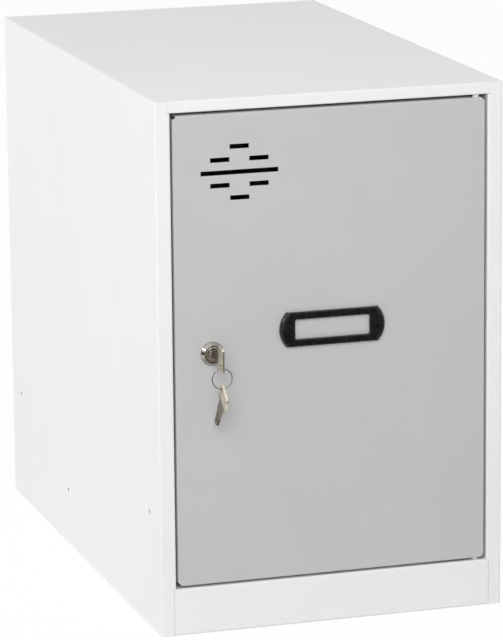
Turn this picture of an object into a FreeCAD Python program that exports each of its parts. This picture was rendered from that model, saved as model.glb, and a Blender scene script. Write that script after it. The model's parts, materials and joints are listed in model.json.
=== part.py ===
# Single-door steel locker with a cam lock, two keys on a ring and a label holder.
# Frame: origin on the floor under the middle of the cabinet, +X to the right as seen from the door,
# +Y to the back, +Z up. Sizes are millimetres and live in the spreadsheet named Sizes.
import FreeCAD, Part
import math
import os

import Sketcher

# Driving dimensions: the spreadsheet alias, its value and what it measures.
DIMENSIONS = (
    # cabinet
    ("body_width", 300.0, "cabinet width"),
    ("body_depth", 500.0, "cabinet depth"),
    ("body_height", 450.0, "cabinet height"),
    ("sheet", 0.8, "thickness of the cabinet's sheet steel"),
    ("bend", 0.8, "inside radius of every fold"),
    ("stile_width", 13.0, "front stile beside the door"),
    ("stile_notch", 2.0, "how much narrower the stile is beside the rails"),
    ("stop_lip", 12.0, "lip behind the door edge that stops the door"),
    ("rear_flange", 15.0, "flange of a side panel over the back panel"),
    ("top_rail", 10.0, "front rail above the door"),
    ("rail_return", 22.0, "depth of the top rail's folded return"),
    ("top_flange", 12.0, "flanges of the top panel inside the cabinet"),
    ("plinth_height", 40.0, "plinth below the door, up to the floor of the compartment"),
    ("base_return", 18.0, "inward foot of the base panel's flanges"),
    ("plinth_seam", 0.3, "open seam at each end of the plinth"),
    ("rail_seam", 0.1, "tight seam at each end of the top rail"),
    ("nest_clearance", 0.2, "clearance between nested sheets that do not touch"),
    ("joining_hole", 4.0, "diameter of the holes for joining cabinets"),
    ("joining_inset", 33.0, "front and rear joining hole from the cabinet's front and back"),
    ("joining_height", 100.0, "front and rear joining hole above the floor"),
    ("third_hole_inset", 300.0, "third joining hole from the cabinet's front"),
    ("third_hole_height", 50.0, "third joining hole above the floor"),
    # door
    ("door_gap_side", 2.0, "gap at the left and right of the door"),
    ("door_gap_top", 2.5, "gap above the door"),
    ("door_gap_bottom", 2.0, "gap below the door"),
    ("door_recess", 0.5, "door face behind the front of the cabinet"),
    ("door_thickness", 18.0, "depth of the folded door"),
    ("door_sheet", 0.8, "thickness of the door's sheet steel"),
    ("door_lip", 10.0, "inward lip round the back of the door"),
    ("corner_relief", 3.6, "cropped corner of the door"),
    ("vent_short", 16.5, "length of a short vent slot"),
    ("vent_long", 66.4, "length of the long vent slot"),
    ("vent_height", 3.9, "height of a vent slot"),
    ("vent_pitch", 10.6, "rows of vent slots from each other"),
    ("vent_spread", 16.7, "paired slots from the middle of the diamond"),
    ("vent_inset", 56.5, "middle of the vent diamond from the door's left edge"),
    ("vent_drop", 48.8, "middle of the vent diamond below the door's top edge"),
    ("hat_crown", 36.0, "crown of the stiffener behind the door skin"),
    ("hat_flange", 12.0, "flange of the stiffener"),
    ("hat_depth", 11.0, "depth of the stiffener"),
    ("hat_margin", 16.0, "stiffener ends from the door's top and bottom edges"),
    # hinge
    ("hinge_inset", 7.0, "hinge axis from the door's right edge"),
    ("hinge_setback", 5.0, "hinge axis behind the door face"),
    ("pin_diameter", 3.0, "hinge pin"),
    ("pin_head", 5.6, "diameter of the pin's riveted head"),
    ("pin_head_height", 1.5, "height of the pin's riveted head"),
    ("pin_reach", 9.0, "hinge pin inside the door"),
    ("pin_chamfer", 0.5, "chamfer on the pin's tip"),
    ("bush_barrel", 4.6, "outside of the bush in the door's flange"),
    ("bush_flange", 5.6, "diameter of the bush flange in the gap"),
    ("bush_length", 6.0, "bush inside the door"),
    ("bush_play", 0.3, "end play between the bush and the cabinet"),
    ("running_clearance", 0.05, "radial clearance of turning fits"),
    ("hole_clearance", 0.1, "radial clearance of fixed pieces in their holes"),
    # buffers
    ("buffer_diameter", 8.0, "rubber button on the stop lip"),
    ("buffer_height", 3.3, "height of the button in front of the lip"),
    ("buffer_play", 0.2, "gap between the button and the closed door"),
    ("buffer_stem", 4.0, "stem of the button through the lip"),
    ("buffer_stem_length", 3.0, "stem behind the button's head"),
    ("buffer_margin", 50.0, "buttons from the door's top and bottom edges"),
    ("buffer_round", 0.8, "rounded rim of the button"),
    # label holder
    ("label_height", 29.0, "label holder, top to bottom"),
    ("label_straight", 79.2, "straight run of the label holder's edges"),
    ("label_bulge", 5.9, "how far each rounded end stands out"),
    ("label_thickness", 3.2, "label holder in front of the door"),
    ("label_centre", 253.5, "middle of the label holder above the floor"),
    ("label_corner", 1.6, "rounded corners of the label holder"),
    ("label_round", 1.3, "rounded rim of the label holder"),
    ("window_width", 65.0, "window of the label holder"),
    ("window_height", 16.8, "window of the label holder"),
    ("window_corner", 1.5, "corner radius of the window"),
    ("window_bevel", 0.9, "bevel round the window"),
    ("card_margin", 2.5, "card recess beyond the window"),
    ("card_depth", 0.7, "depth of the card recess"),
    ("peg_diameter", 4.6, "pegs of the label holder"),
    ("peg_spacing", 77.0, "pegs from each other"),
    ("peg_length", 4.0, "pegs through the door"),
    # lock
    ("lock_inset", 31.5, "lock axis from the door's left edge"),
    ("lock_height", 238.5, "lock axis above the floor"),
    ("bezel_diameter", 20.0, "bezel of the lock"),
    ("bezel_height", 4.2, "bezel in front of the door"),
    ("bezel_edge", 1.2, "straight rim of the bezel before its cone"),
    ("bezel_cone", 2.3, "how far the cone of the bezel runs in"),
    ("bezel_round", 0.4, "rounded edges of the bezel"),
    ("barrel_diameter", 18.0, "threaded barrel of the lock"),
    ("barrel_flats", 16.0, "across the two flats of the barrel"),
    ("cam_clearance", 0.9, "cam behind the stop lip"),
    ("plug_diameter", 12.0, "turning plug"),
    ("plug_flange", 13.6, "flange at the front of the plug"),
    ("plug_flange_height", 1.4, "height of the plug's flange"),
    ("plug_bevel", 0.5, "bevel round the front of the plug"),
    ("plug_dish", 11.0, "outer step of the plug's dished face"),
    ("plug_dish_depth", 0.5, "outer step of the plug's dished face"),
    ("plug_well", 8.8, "inner step of the plug's dished face"),
    ("plug_well_depth", 0.4, "inner step below the outer one"),
    ("plug_recess", 0.3, "plug face behind the bezel"),
    ("plug_play", 0.2, "end play of the plug"),
    ("keyway_clearance", 0.2, "keyway round the blade, on each side"),
    ("keyway_end", 1.0, "keyway beyond the blade's tip"),
    ("wafer_count", 4, "number of wafer tumblers"),
    ("wafer_pitch", 2.7, "wafers from each other"),
    ("wafer_first", 4.2, "first wafer behind the plug's face"),
    ("wafer_thickness", 1.0, "wafer"),
    ("wafer_width", 6.6, "wafer"),
    ("wafer_clearance", 0.1, "wafer in its slot, on each side"),
    ("drive_square", 7.0, "square end of the plug that turns the cam"),
    ("drive_clearance", 0.1, "square hole round the drive, on each side"),
    ("drive_short", 0.2, "drive ends this far inside the cam"),
    ("washer_diameter", 24.0, "washer behind the door skin"),
    ("washer_thickness", 1.0, "washer behind the door skin"),
    ("nut_across", 22.0, "lock nut across its flats"),
    ("nut_thickness", 4.5, "lock nut"),
    ("stop_washer_diameter", 14.0, "stop washer in front of the cam"),
    ("stop_washer_thickness", 1.0, "stop washer in front of the cam"),
    ("stop_tab_width", 4.0, "tab of the stop washer"),
    ("stop_tab_reach", 8.6, "tip of the tab from the lock axis"),
    ("stop_clearance", 0.1, "tab from the housing's shoulders at each end of its turn"),
    ("stop_bore", 14.4, "counterbore of the housing round the stop washer"),
    ("cam_thickness", 2.0, "lock cam"),
    ("cam_length", 30.0, "lock cam from its axis to its tip"),
    ("cam_width", 15.0, "lock cam"),
    ("cam_tip_round", 3.0, "corners at the cam's tip"),
    ("cam_hub_round", 6.0, "corners at the cam's hub"),
    ("screw_diameter", 4.0, "cam screw"),
    ("screw_length", 7.0, "cam screw below its head"),
    ("screw_head", 9.0, "cam screw's head"),
    ("screw_head_height", 2.4, "cam screw's head"),
    ("screw_slot", 1.2, "slot of the cam screw, width and depth"),
    # keys and ring
    ("key_thickness", 2.0, "key"),
    ("blade_length", 14.0, "key blade inside the plug"),
    ("blade_height", 7.0, "key blade"),
    ("blade_tip", 2.2, "tapered tip of the blade"),
    ("blade_tip_height", 2.6, "height of the blade's very end"),
    ("bitting_depth", 0.8, "cuts in the blade's edges"),
    ("bitting_width", 1.8, "width of a cut in the blade's edge"),
    ("key_groove_width", 1.4, "milled groove along the blade"),
    ("key_groove_depth", 0.4, "milled groove along the blade"),
    ("shoulder_height", 9.0, "shoulder of the key in front of the plug"),
    ("shoulder_gap", 0.3, "shoulder from the plug's face"),
    ("neck_length", 13.0, "plug's face to the key's bow"),
    ("bow_width", 15.0, "bow along the lock axis"),
    ("bow_height", 21.2, "bow, end to end"),
    ("bow_corner", 3.0, "corner radius of the bow"),
    ("bow_round", 0.4, "rounded edges of the bow"),
    ("ring_hole", 5.0, "hole for the ring in the bow"),
    ("ring_hole_offset", 5.0, "hole for the ring below the lock axis"),
    ("ring_hole_edge", 4.8, "hole for the ring from the bow's outer end"),
    ("wire_diameter", 1.0, "wire of the key ring"),
    ("wire_play", 0.3, "gap between the wire and the edge of its hole"),
    ("ring_diameter", 17.0, "key ring, at the middle of its wire"),
    ("ring_gap", 4.0, "open angle at the ring's butt joint, degrees"),
    ("spare_tilt", 52.0, "spare key's blade below level as it hangs, degrees"),
    # tool overshoot
    ("overshoot", 1.0, "how far a cutting profile runs past the metal"),
)

PLANE_ROLES = {"XY": "XY_Plane", "XZ": "XZ_Plane", "YZ": "YZ_Plane"}


class Dim:
    """A size that carries its number and the spreadsheet expression that gives it."""

    def __init__(self, value, text):
        self.value = value
        self.text = text

    def __add__(self, other):
        other = dim(other)
        return Dim(self.value + other.value, f"({self.text} + {other.text})")

    def __sub__(self, other):
        other = dim(other)
        return Dim(self.value - other.value, f"({self.text} - {other.text})")

    def __mul__(self, other):
        other = dim(other)
        return Dim(self.value * other.value, f"({self.text} * {other.text})")

    def __truediv__(self, other):
        other = dim(other)
        return Dim(self.value / other.value, f"({self.text} / {other.text})")

    def __neg__(self):
        return Dim(-self.value, f"(-1 * {self.text})")

    def root(self):
        return Dim(math.sqrt(self.value), f"sqrt({self.text})")

    def sine(self):
        return Dim(math.sin(math.radians(self.value)), f"sin({self.text} * 1 deg)")

    def cosine(self):
        return Dim(math.cos(math.radians(self.value)), f"cos({self.text} * 1 deg)")


def dim(value):
    """The value itself if it is a Dim, or a plain number as one."""
    return value if isinstance(value, Dim) else Dim(float(value), repr(float(value)))


def make_sheet(doc):
    """Write the driving dimensions into the spreadsheet and return them as Dims by alias."""
    sheet = doc.addObject("Spreadsheet::Sheet", "Sizes")
    for row, (alias, value, meaning) in enumerate(DIMENSIONS, start=1):
        sheet.set(f"A{row}", meaning)
        sheet.set(f"B{row}", str(value))
        sheet.setAlias(f"B{row}", alias)
    doc.recompute()
    return {alias: Dim(float(sheet.get(alias)), f"Sizes.{alias}") for alias, _, _ in DIMENSIONS}


class Corner:
    """A corner of a closed outline.

    radius rounds the corner, whose two sides then run along the sketch's axes.
    arc makes the side that leaves the corner an arc of that radius, bulging to the right of travel.
    """

    def __init__(self, u, v, radius=None, arc=None):
        self.u = dim(u)
        self.v = dim(v)
        self.radius = radius
        self.arc = arc
        self.point = FreeCAD.Vector(self.u.value, self.v.value, 0)


class Profile:
    """A sketch on one of a body's origin planes, whose dimensions follow the spreadsheet."""

    def __init__(self, body, name, plane, level=0):
        """plane is XY, XZ or YZ, and level is the sketch's place along the axis across it."""
        self.sketch = body.newObject("Sketcher::SketchObject", f"{body.Label}_{name}")
        self.body = body
        self.plane = plane
        features = body.Origin.OriginFeatures
        support = [item for item in features if item.Role == PLANE_ROLES[plane]]
        self.sketch.AttachmentSupport = [(support[0], "")]
        self.sketch.MapMode = "FlatFace"
        # an XZ sketch looks along -Y, so its offset counts the other way
        self.facing = -1 if plane == "XZ" else 1
        offset = dim(level) * self.facing
        self.sketch.setExpression("AttachmentOffset.Base.z", offset.text)

    def size(self, kind, *places_and_dim):
        """Add a dimensional constraint and bind it to its Dim, the last argument."""
        *places, amount = places_and_dim
        index = self.sketch.addConstraint(Sketcher.Constraint(kind, *places, amount.value))
        self.sketch.setExpression(f"Constraints[{index}]", amount.text)

    def rule(self, kind, *places):
        """Add a geometric constraint."""
        self.sketch.addConstraint(Sketcher.Constraint(kind, *places))

    def place(self, geometry, vertex, u, v):
        """Fix a vertex of the sketch at (u, v) from the sketch's origin."""
        self.size("DistanceX", -1, 1, geometry, vertex, dim(u))
        self.size("DistanceY", -1, 1, geometry, vertex, dim(v))

    def circle(self, u, v, diameter):
        centre = FreeCAD.Vector(dim(u).value, dim(v).value, 0)
        shape = Part.Circle(centre, FreeCAD.Vector(0, 0, 1), diameter.value / 2)
        ring = self.sketch.addGeometry(shape)
        self.size("Diameter", ring, diameter)
        self.place(ring, 3, u, v)

    def rectangle(self, left, bottom, right, top, radius=None):
        corners = ((left, bottom), (right, bottom), (right, top), (left, top))
        self.loop([Corner(u, v, radius) for u, v in corners])

    def loop(self, corners):
        """Add a closed outline through the corners."""
        sides = [self.add_side(corners, i) for i in range(len(corners))]
        for i, corner in enumerate(corners):
            if corner.radius is None:
                self.rule("Coincident", *sides[i - 1]["end"], *sides[i]["start"])
                self.place(*sides[i]["start"], corner.u, corner.v)
            else:
                self.add_fillet(corners, sides, i)
        for i, side in enumerate(sides):
            following = corners[(i + 1) % len(corners)]
            if corners[i].radius is not None or following.radius is not None:
                self.hold_straight(side, corners[i], following)

    def add_side(self, corners, i):
        """Add the straight or arched side that leaves corner i, trimmed for rounded ends."""
        first, second = corners[i], corners[(i + 1) % len(corners)]
        along = (second.point - first.point).normalize()
        if first.arc is not None:
            return self.add_arch(first, second, along)
        trims = [0 if corner.radius is None else corner.radius.value for corner in (first, second)]
        start = first.point + along * trims[0]
        end = second.point - along * trims[1]
        line = self.sketch.addGeometry(Part.LineSegment(start, end))
        return {"line": line, "start": (line, 1), "end": (line, 2), "along": along}

    def add_arch(self, first, second, along):
        """Add an arc from first to second, bulging to the right of travel."""
        half_chord = first.point.distanceToPoint(second.point) / 2
        sagitta_centre = math.sqrt(max(first.arc.value**2 - half_chord**2, 0))
        left = FreeCAD.Vector(-along.y, along.x, 0)
        centre = (first.point + second.point) * 0.5 + left * sagitta_centre
        angles = [math.atan2(p.y - centre.y, p.x - centre.x) for p in (first.point, second.point)]
        if angles[1] < angles[0]:
            angles[1] += 2 * math.pi
        circle = Part.Circle(centre, FreeCAD.Vector(0, 0, 1), first.arc.value)
        arc = self.sketch.addGeometry(Part.ArcOfCircle(circle, *angles))
        self.size("Radius", arc, first.arc)
        return {"line": arc, "start": (arc, 1), "end": (arc, 2), "along": along}

    def add_fillet(self, corners, sides, i):
        """Round corner i with an arc that is tangent to both its sides."""
        corner, before, after = corners[i], sides[i - 1], sides[i]
        reach = corner.radius.value
        entry = corner.point - before["along"] * reach
        leave = corner.point + after["along"] * reach
        centre = entry + after["along"] * reach
        turns_left = before["along"].cross(after["along"]).z > 0
        ends = (entry, leave) if turns_left else (leave, entry)
        angles = [math.atan2(p.y - centre.y, p.x - centre.x) for p in ends]
        if angles[1] < angles[0]:
            angles[1] += 2 * math.pi
        circle = Part.Circle(centre, FreeCAD.Vector(0, 0, 1), reach)
        arc = self.sketch.addGeometry(Part.ArcOfCircle(circle, *angles))
        entry_vertex, leave_vertex = (1, 2) if turns_left else (2, 1)
        self.rule("Tangent", *before["end"], arc, entry_vertex)
        self.rule("Tangent", *after["start"], arc, leave_vertex)
        self.size("Radius", arc, corner.radius)

    def hold_straight(self, side, first, second):
        """Keep a side that ends in a rounded corner along its axis, and at its place."""
        level = abs(side["along"].x) > abs(side["along"].y)
        self.rule("Horizontal" if level else "Vertical", side["line"])
        if first.radius is not None and second.radius is not None:
            kind, amount = ("DistanceY", first.v) if level else ("DistanceX", first.u)
            self.size(kind, -1, 1, *side["start"], amount)

    def fold(self, path, thickness, radius, side):
        """Add the outline of folded sheet along a path of (u, v) points.

        The path is one face of the sheet and runs along the sketch's axes.
        side is 1 if the metal is on the left of travel and -1 if it is on the right.
        """
        points = [FreeCAD.Vector(dim(u).value, dim(v).value, 0) for u, v in path]
        ways = [(b - a).normalize() for a, b in zip(points, points[1:])]
        normals = [FreeCAD.Vector(-way.y, way.x, 0) * side for way in ways]
        face, other_face = [], []
        for i, (u, v) in enumerate(path):
            shift = FreeCAD.Vector(0, 0, 0)
            for j in {max(i - 1, 0), min(i, len(ways) - 1)}:
                shift += normals[j]
            face_radius = other_radius = None
            if 0 < i < len(path) - 1:
                outside = ways[i - 1].cross(ways[i]).z * side > 0
                wide, tight = radius + thickness, radius
                face_radius, other_radius = (wide, tight) if outside else (tight, wide)
            face.append(Corner(u, v, face_radius))
            moved = (dim(u) + thickness * round(shift.x), dim(v) + thickness * round(shift.y))
            other_face.append(Corner(*moved, other_radius))
        self.loop(face + other_face[::-1])

    def pad(self, length, toward=1):
        """Extrude along the plane's own axis: toward 1 or -1, or 0 for half each way."""
        return self.extrude("PartDesign::Pad", length, toward, reverse=toward != self.facing)

    def pocket(self, length, toward=1):
        """Cut along the plane's own axis: toward 1 or -1, or 0 for half each way."""
        return self.extrude("PartDesign::Pocket", length, toward, reverse=toward == self.facing)

    def extrude(self, kind, length, toward, reverse):
        feature = self.body.newObject(kind, f"{self.sketch.Name}_{kind.split('::')[1]}")
        feature.Profile = self.sketch
        feature.setExpression("Length", dim(length).text)
        if toward == 0:
            feature.SideType = "Symmetric"
        else:
            feature.Reversed = reverse
        return feature

    def revolve(self):
        """Revolve the profile once round the sketch's vertical axis."""
        feature = self.body.newObject("PartDesign::Revolution", f"{self.sketch.Name}_Revolution")
        feature.Profile = self.sketch
        feature.ReferenceAxis = (self.sketch, ["V_Axis"])
        return feature


class Locker:
    """The document, its sizes and its sub-parts."""

    def __init__(self):
        self.doc = FreeCAD.newDocument("Locker")
        self.sub_parts = []
        self.size = make_sheet(self.doc)
        self.work_out_places()

    def work_out_places(self):
        """Places that several pieces share, from the driving dimensions."""
        s = self.size
        self.half_width = s["body_width"] / 2
        self.front = -s["body_depth"] / 2
        self.rear = s["body_depth"] / 2
        self.inner_half = self.half_width - s["sheet"]
        self.stile_edge = self.half_width - s["stile_width"]
        self.notch_edge = self.stile_edge + s["stile_notch"]
        self.back_seat = self.rear - s["sheet"] * 2
        self.behind_stile = self.front + s["sheet"] + s["bend"] + s["nest_clearance"]
        self.opening_top = s["body_height"] - s["top_rail"]

        self.door_left = s["door_gap_side"] - self.stile_edge
        self.door_right = self.stile_edge - s["door_gap_side"]
        self.door_bottom = s["plinth_height"] + s["door_gap_bottom"]
        self.door_top = self.opening_top - s["door_gap_top"]
        self.door_face = self.front + s["door_recess"]
        self.door_rear = self.door_face + s["door_thickness"]
        self.door_inside = self.door_face + s["door_sheet"]
        self.stop_face = self.door_rear + s["buffer_play"] + s["buffer_height"]
        self.hinge_x = self.door_right - s["hinge_inset"]
        self.hinge_y = self.door_face + s["hinge_setback"]

        # along the lock axis, measured from the door face
        self.lock_x = self.door_left + s["lock_inset"]
        self.cam_front = self.stop_face + s["sheet"] + s["cam_clearance"] - self.door_face
        self.cam_rear = self.cam_front + s["cam_thickness"]
        self.plug_end = self.cam_front - s["stop_washer_thickness"]
        self.stop_floor = self.plug_end - s["plug_play"]
        self.barrel_end = self.cam_front - s["plug_play"]
        self.plug_face = s["plug_recess"] - s["bezel_height"]
        self.keyway_width = s["key_thickness"] + s["keyway_clearance"] * 2
        self.keyway_height = s["blade_height"] + s["keyway_clearance"] * 2

        # wire of the ring, in the bow's hole, measured from the lock axis and the door face
        self.hole_reach = s["neck_length"] + s["bow_width"] - s["ring_hole_edge"]
        self.wire_drop = (
            s["ring_hole_offset"] + s["ring_hole"] / 2 - s["wire_diameter"] / 2 - s["wire_play"]
        )
        self.wire_y = self.door_face + self.plug_face - self.hole_reach
        self.ring_z = s["lock_height"] - self.wire_drop - s["ring_diameter"] / 2
        self.ring_low = s["lock_height"] - self.wire_drop - s["ring_diameter"]

    def new_body(self, label):
        body = self.doc.addObject("PartDesign::Body", label)
        body.Label = label
        self.sub_parts.append(body)
        return body

    def at_lock(self, body, forward=0):
        """Put a body's own origin on the lock axis, at the door face or behind it."""
        body.setExpression("Placement.Base.x", self.lock_x.text)
        body.setExpression("Placement.Base.y", (self.door_face + forward).text)
        body.setExpression("Placement.Base.z", self.size["lock_height"].text)

    def at_hinge(self, body):
        body.setExpression("Placement.Base.x", self.hinge_x.text)
        body.setExpression("Placement.Base.y", self.hinge_y.text)

    def dress_edges(self, kind, body, base, wanted, size_name, amount):
        """Fillet or chamfer those edges of base for which wanted(edge) is true."""
        self.doc.recompute()
        names = [f"Edge{i}" for i, edge in enumerate(base.Shape.Edges, start=1) if wanted(edge)]
        if not names:
            raise RuntimeError(f"{body.Label}: no edge to dress")
        feature = body.newObject(kind, f"{base.Name}_{kind.split('::')[1]}")
        feature.Base = (base, names)
        feature.setExpression(size_name, amount.text)
        return feature

    # cabinet

    def side_panel(self, label, hand):
        """Side wall, front stile with its return and stop lip, and rear flange, folded as one."""
        s = self.size
        body = self.new_body(label)
        lip_end = self.stile_edge - s["stop_lip"]
        path = (
            (lip_end * hand, self.stop_face),
            (self.stile_edge * hand, self.stop_face),
            (self.stile_edge * hand, self.front),
            (self.half_width * hand, self.front),
            (self.half_width * hand, self.rear),
            ((self.half_width - s["rear_flange"]) * hand, self.rear),
        )
        profile = Profile(body, "fold", "XY")
        profile.fold(path, s["sheet"], s["bend"], side=hand)
        profile.pad(s["body_height"])

        notches = Profile(body, "notches", "XZ", self.front - s["overshoot"])
        spans = (
            (-s["overshoot"], s["plinth_height"]),
            (self.opening_top, s["body_height"] + s["overshoot"]),
        )
        near, far = sorted(
            (self.notch_edge * hand, (lip_end - s["overshoot"]) * hand), key=lambda d: d.value
        )
        for low, high in spans:
            notches.rectangle(near, low, far, high)
        notches.pocket(self.stop_face - self.front + s["sheet"] + s["overshoot"] * 2)

        holes = Profile(body, "joining_holes", "YZ", self.half_width * hand)
        holes.circle(self.front + s["joining_inset"], s["joining_height"], s["joining_hole"])
        holes.circle(self.rear - s["joining_inset"], s["joining_height"], s["joining_hole"])
        holes.circle(self.front + s["third_hole_inset"], s["third_hole_height"], s["joining_hole"])
        holes.pocket(s["sheet"] + s["overshoot"], toward=-hand)
        return body

    def left_side_panel(self):
        s = self.size
        body = self.side_panel("left_side_panel", -1)
        stems = Profile(body, "stem_holes", "XZ", self.stop_face)
        for height in self.buffer_heights():
            stems.circle(self.buffer_x(), height, s["buffer_stem"] + s["hole_clearance"] * 2)
        stems.pocket(s["sheet"] + s["overshoot"])

    def top_panel(self):
        """Top sheet with the front rail and three flanges."""
        s = self.size
        body = self.new_body("top_panel")
        path = (
            (self.front + s["rail_return"], self.opening_top),
            (self.front, self.opening_top),
            (self.front, s["body_height"]),
            (self.back_seat, s["body_height"]),
            (self.back_seat, s["body_height"] - s["top_flange"]),
        )
        rail = Profile(body, "rail_fold", "YZ")
        rail.fold(path, s["sheet"], s["bend"], side=-1)
        rail.pad((self.notch_edge - s["rail_seam"]) * 2, toward=0)
        flange_end = s["body_height"] - s["top_flange"]
        path = (
            (-self.inner_half, flange_end),
            (-self.inner_half, s["body_height"]),
            (self.inner_half, s["body_height"]),
            (self.inner_half, flange_end),
        )
        sides = Profile(body, "side_fold", "XZ", self.behind_stile)
        sides.fold(path, s["sheet"], s["bend"], side=-1)
        sides.pad(self.back_seat - self.behind_stile)
        pin_hole = Profile(body, "pin_hole", "XY", self.opening_top)
        pin_hole.circle(self.hinge_x, self.hinge_y, s["pin_diameter"] + s["hole_clearance"] * 2)
        pin_hole.pocket(s["sheet"] + s["bend"])

    def base_panel(self):
        """Floor of the compartment, with plinth, side and rear flanges that turn in as feet."""
        s = self.size
        body = self.new_body("base_panel")
        path = (
            (self.front + s["base_return"], 0),
            (self.front, 0),
            (self.front, s["plinth_height"]),
            (self.back_seat, s["plinth_height"]),
            (self.back_seat, 0),
            (self.back_seat - s["base_return"], 0),
        )
        plinth = Profile(body, "plinth_fold", "YZ")
        plinth.fold(path, s["sheet"], s["bend"], side=-1)
        plinth.pad((self.notch_edge - s["plinth_seam"]) * 2, toward=0)
        path = (
            (s["base_return"] - self.inner_half, 0),
            (-self.inner_half, 0),
            (-self.inner_half, s["plinth_height"]),
            (self.inner_half, s["plinth_height"]),
            (self.inner_half, 0),
            (self.inner_half - s["base_return"], 0),
        )
        sides = Profile(body, "side_fold", "XZ", self.behind_stile)
        sides.fold(path, s["sheet"], s["bend"], side=-1)
        sides.pad(self.back_seat - self.behind_stile)
        pin_hole = Profile(body, "pin_hole", "XY", s["plinth_height"])
        pin_hole.circle(self.hinge_x, self.hinge_y, s["pin_diameter"] + s["hole_clearance"] * 2)
        pin_hole.pocket(s["sheet"] + s["bend"], toward=-1)

    def back_panel(self):
        """Flat sheet between the flanges of the sides and those of the top and base."""
        s = self.size
        body = self.new_body("back_panel")
        half = self.inner_half - s["bend"] - s["nest_clearance"]
        profile = Profile(body, "sheet", "XZ", self.back_seat)
        profile.rectangle(
            -half, s["nest_clearance"], half, s["body_height"] - s["nest_clearance"]
        )
        profile.pad(s["sheet"])

    # door

    def door_panel(self):
        """Folded pan with a lip round the back, cropped corners, vents and fixing holes."""
        s = self.size
        body = self.new_body("door_panel")
        outline = (self.door_left, self.door_bottom, self.door_right, self.door_top)
        skin = Profile(body, "block", "XZ", self.door_face)
        skin.rectangle(*outline)
        block = skin.pad(s["door_thickness"])
        on_face = self.flat_test(1, self.door_face)
        rounded = self.dress_edges(
            "PartDesign::Fillet", body, block, on_face, "Radius", s["bend"] + s["door_sheet"]
        )
        self.doc.recompute()
        rear_plane = self.door_rear.value
        rear_face = [
            f"Face{i}"
            for i, face in enumerate(rounded.Shape.Faces, start=1)
            if abs(face.BoundBox.YMin - rear_plane) < 1e-6
        ]
        pan = body.newObject("PartDesign::Thickness", "door_panel_pan")
        pan.Base = (rounded, rear_face)
        pan.Reversed = True
        pan.setExpression("Value", s["door_sheet"].text)

        lip = Profile(body, "lip", "XZ", self.door_rear)
        lip.rectangle(*outline)
        lip.rectangle(
            self.door_left + s["door_lip"],
            self.door_bottom + s["door_lip"],
            self.door_right - s["door_lip"],
            self.door_top - s["door_lip"],
        )
        lip.pad(s["door_sheet"], toward=-1)

        self.crop_corners(body)
        self.cut_vents(body)
        self.cut_door_holes(body)

    def flat_test(self, axis, level):
        """A test for edges that lie in the plane at level across an axis (0, 1 or 2)."""

        def lies_flat(edge):
            return all(abs(vertex.Point[axis] - level.value) < 1e-6 for vertex in edge.Vertexes)

        return lies_flat

    def crop_corners(self, body):
        s = self.size
        crop = Profile(body, "corner_reliefs", "XZ", self.door_face)
        for x, inward in ((self.door_left, 1), (self.door_right, -1)):
            for z, upward in ((self.door_bottom, 1), (self.door_top, -1)):
                triangle = [
                    Corner(x, z),
                    Corner(x + s["corner_relief"] * inward, z),
                    Corner(x, z + s["corner_relief"] * upward),
                ]
                crop.loop(triangle)
        crop.pocket(s["door_thickness"])

    def cut_vents(self, body):
        """Diamond of slots: one short, two short, one long, two short, one short."""
        s = self.size
        middle_x = self.door_left + s["vent_inset"]
        middle_z = self.door_top - s["vent_drop"]
        rows = (
            (-2, (0,), s["vent_short"]),
            (-1, (-1, 1), s["vent_short"]),
            (0, (0,), s["vent_long"]),
            (1, (-1, 1), s["vent_short"]),
            (2, (0,), s["vent_short"]),
        )
        vents = Profile(body, "vents", "XZ", self.door_face)
        for row, offsets, length in rows:
            low = middle_z + s["vent_pitch"] * row - s["vent_height"] / 2
            for offset in offsets:
                left = middle_x + s["vent_spread"] * offset - length / 2
                vents.rectangle(left, low, left + length, low + s["vent_height"])
        vents.pocket(s["door_sheet"] + s["overshoot"])

    def cut_door_holes(self, body):
        """Holes for the lock, the label holder's pegs and the two hinge bushes."""
        s = self.size
        lock_hole = Profile(body, "lock_hole", "XZ", self.door_face)
        lock_hole.loop(self.double_flat(s["hole_clearance"], self.lock_x, s["lock_height"]))
        lock_hole.pocket(s["door_sheet"] + s["overshoot"])
        pegs = Profile(body, "peg_holes", "XZ", self.door_face)
        for offset in (-0.5, 0.5):
            peg_hole = s["peg_diameter"] + s["hole_clearance"] * 2
            pegs.circle(s["peg_spacing"] * offset, s["label_centre"], peg_hole)
        pegs.pocket(s["door_sheet"] + s["overshoot"])
        for name, level, inward in (("upper", self.door_top, -1), ("lower", self.door_bottom, 1)):
            bush_hole = Profile(body, f"{name}_bush_hole", "XY", level)
            barrel_hole = s["bush_barrel"] + s["hole_clearance"] * 2
            bush_hole.circle(self.hinge_x, self.hinge_y, barrel_hole)
            bush_hole.pocket(s["door_sheet"] + s["overshoot"], toward=inward)

    def double_flat(self, clearance, u, v):
        """Outline of the lock barrel, a circle with two upright flats, with a clearance."""
        s = self.size
        radius = s["barrel_diameter"] / 2 + clearance
        across = s["barrel_flats"] / 2 + clearance
        rise = (radius * radius - across * across).root()
        return [
            Corner(u + across, v - rise),
            Corner(u + across, v + rise, arc=radius),
            Corner(u - across, v + rise),
            Corner(u - across, v - rise, arc=radius),
        ]

    def door_stiffener(self):
        """Hat channel behind the door skin."""
        s = self.size
        body = self.new_body("door_stiffener")
        crown = s["hat_crown"] / 2
        edge = crown + s["hat_flange"]
        top = self.door_inside + s["hat_depth"]
        path = (
            (-edge, self.door_inside),
            (-crown, self.door_inside),
            (-crown, top),
            (crown, top),
            (crown, self.door_inside),
            (edge, self.door_inside),
        )
        profile = Profile(body, "fold", "XY", self.door_bottom + s["hat_margin"])
        profile.fold(path, s["door_sheet"], s["bend"], side=1)
        profile.pad(self.door_top - self.door_bottom - s["hat_margin"] * 2)

    def buffer_x(self):
        return self.size["stop_lip"] / 2 - self.stile_edge

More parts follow.
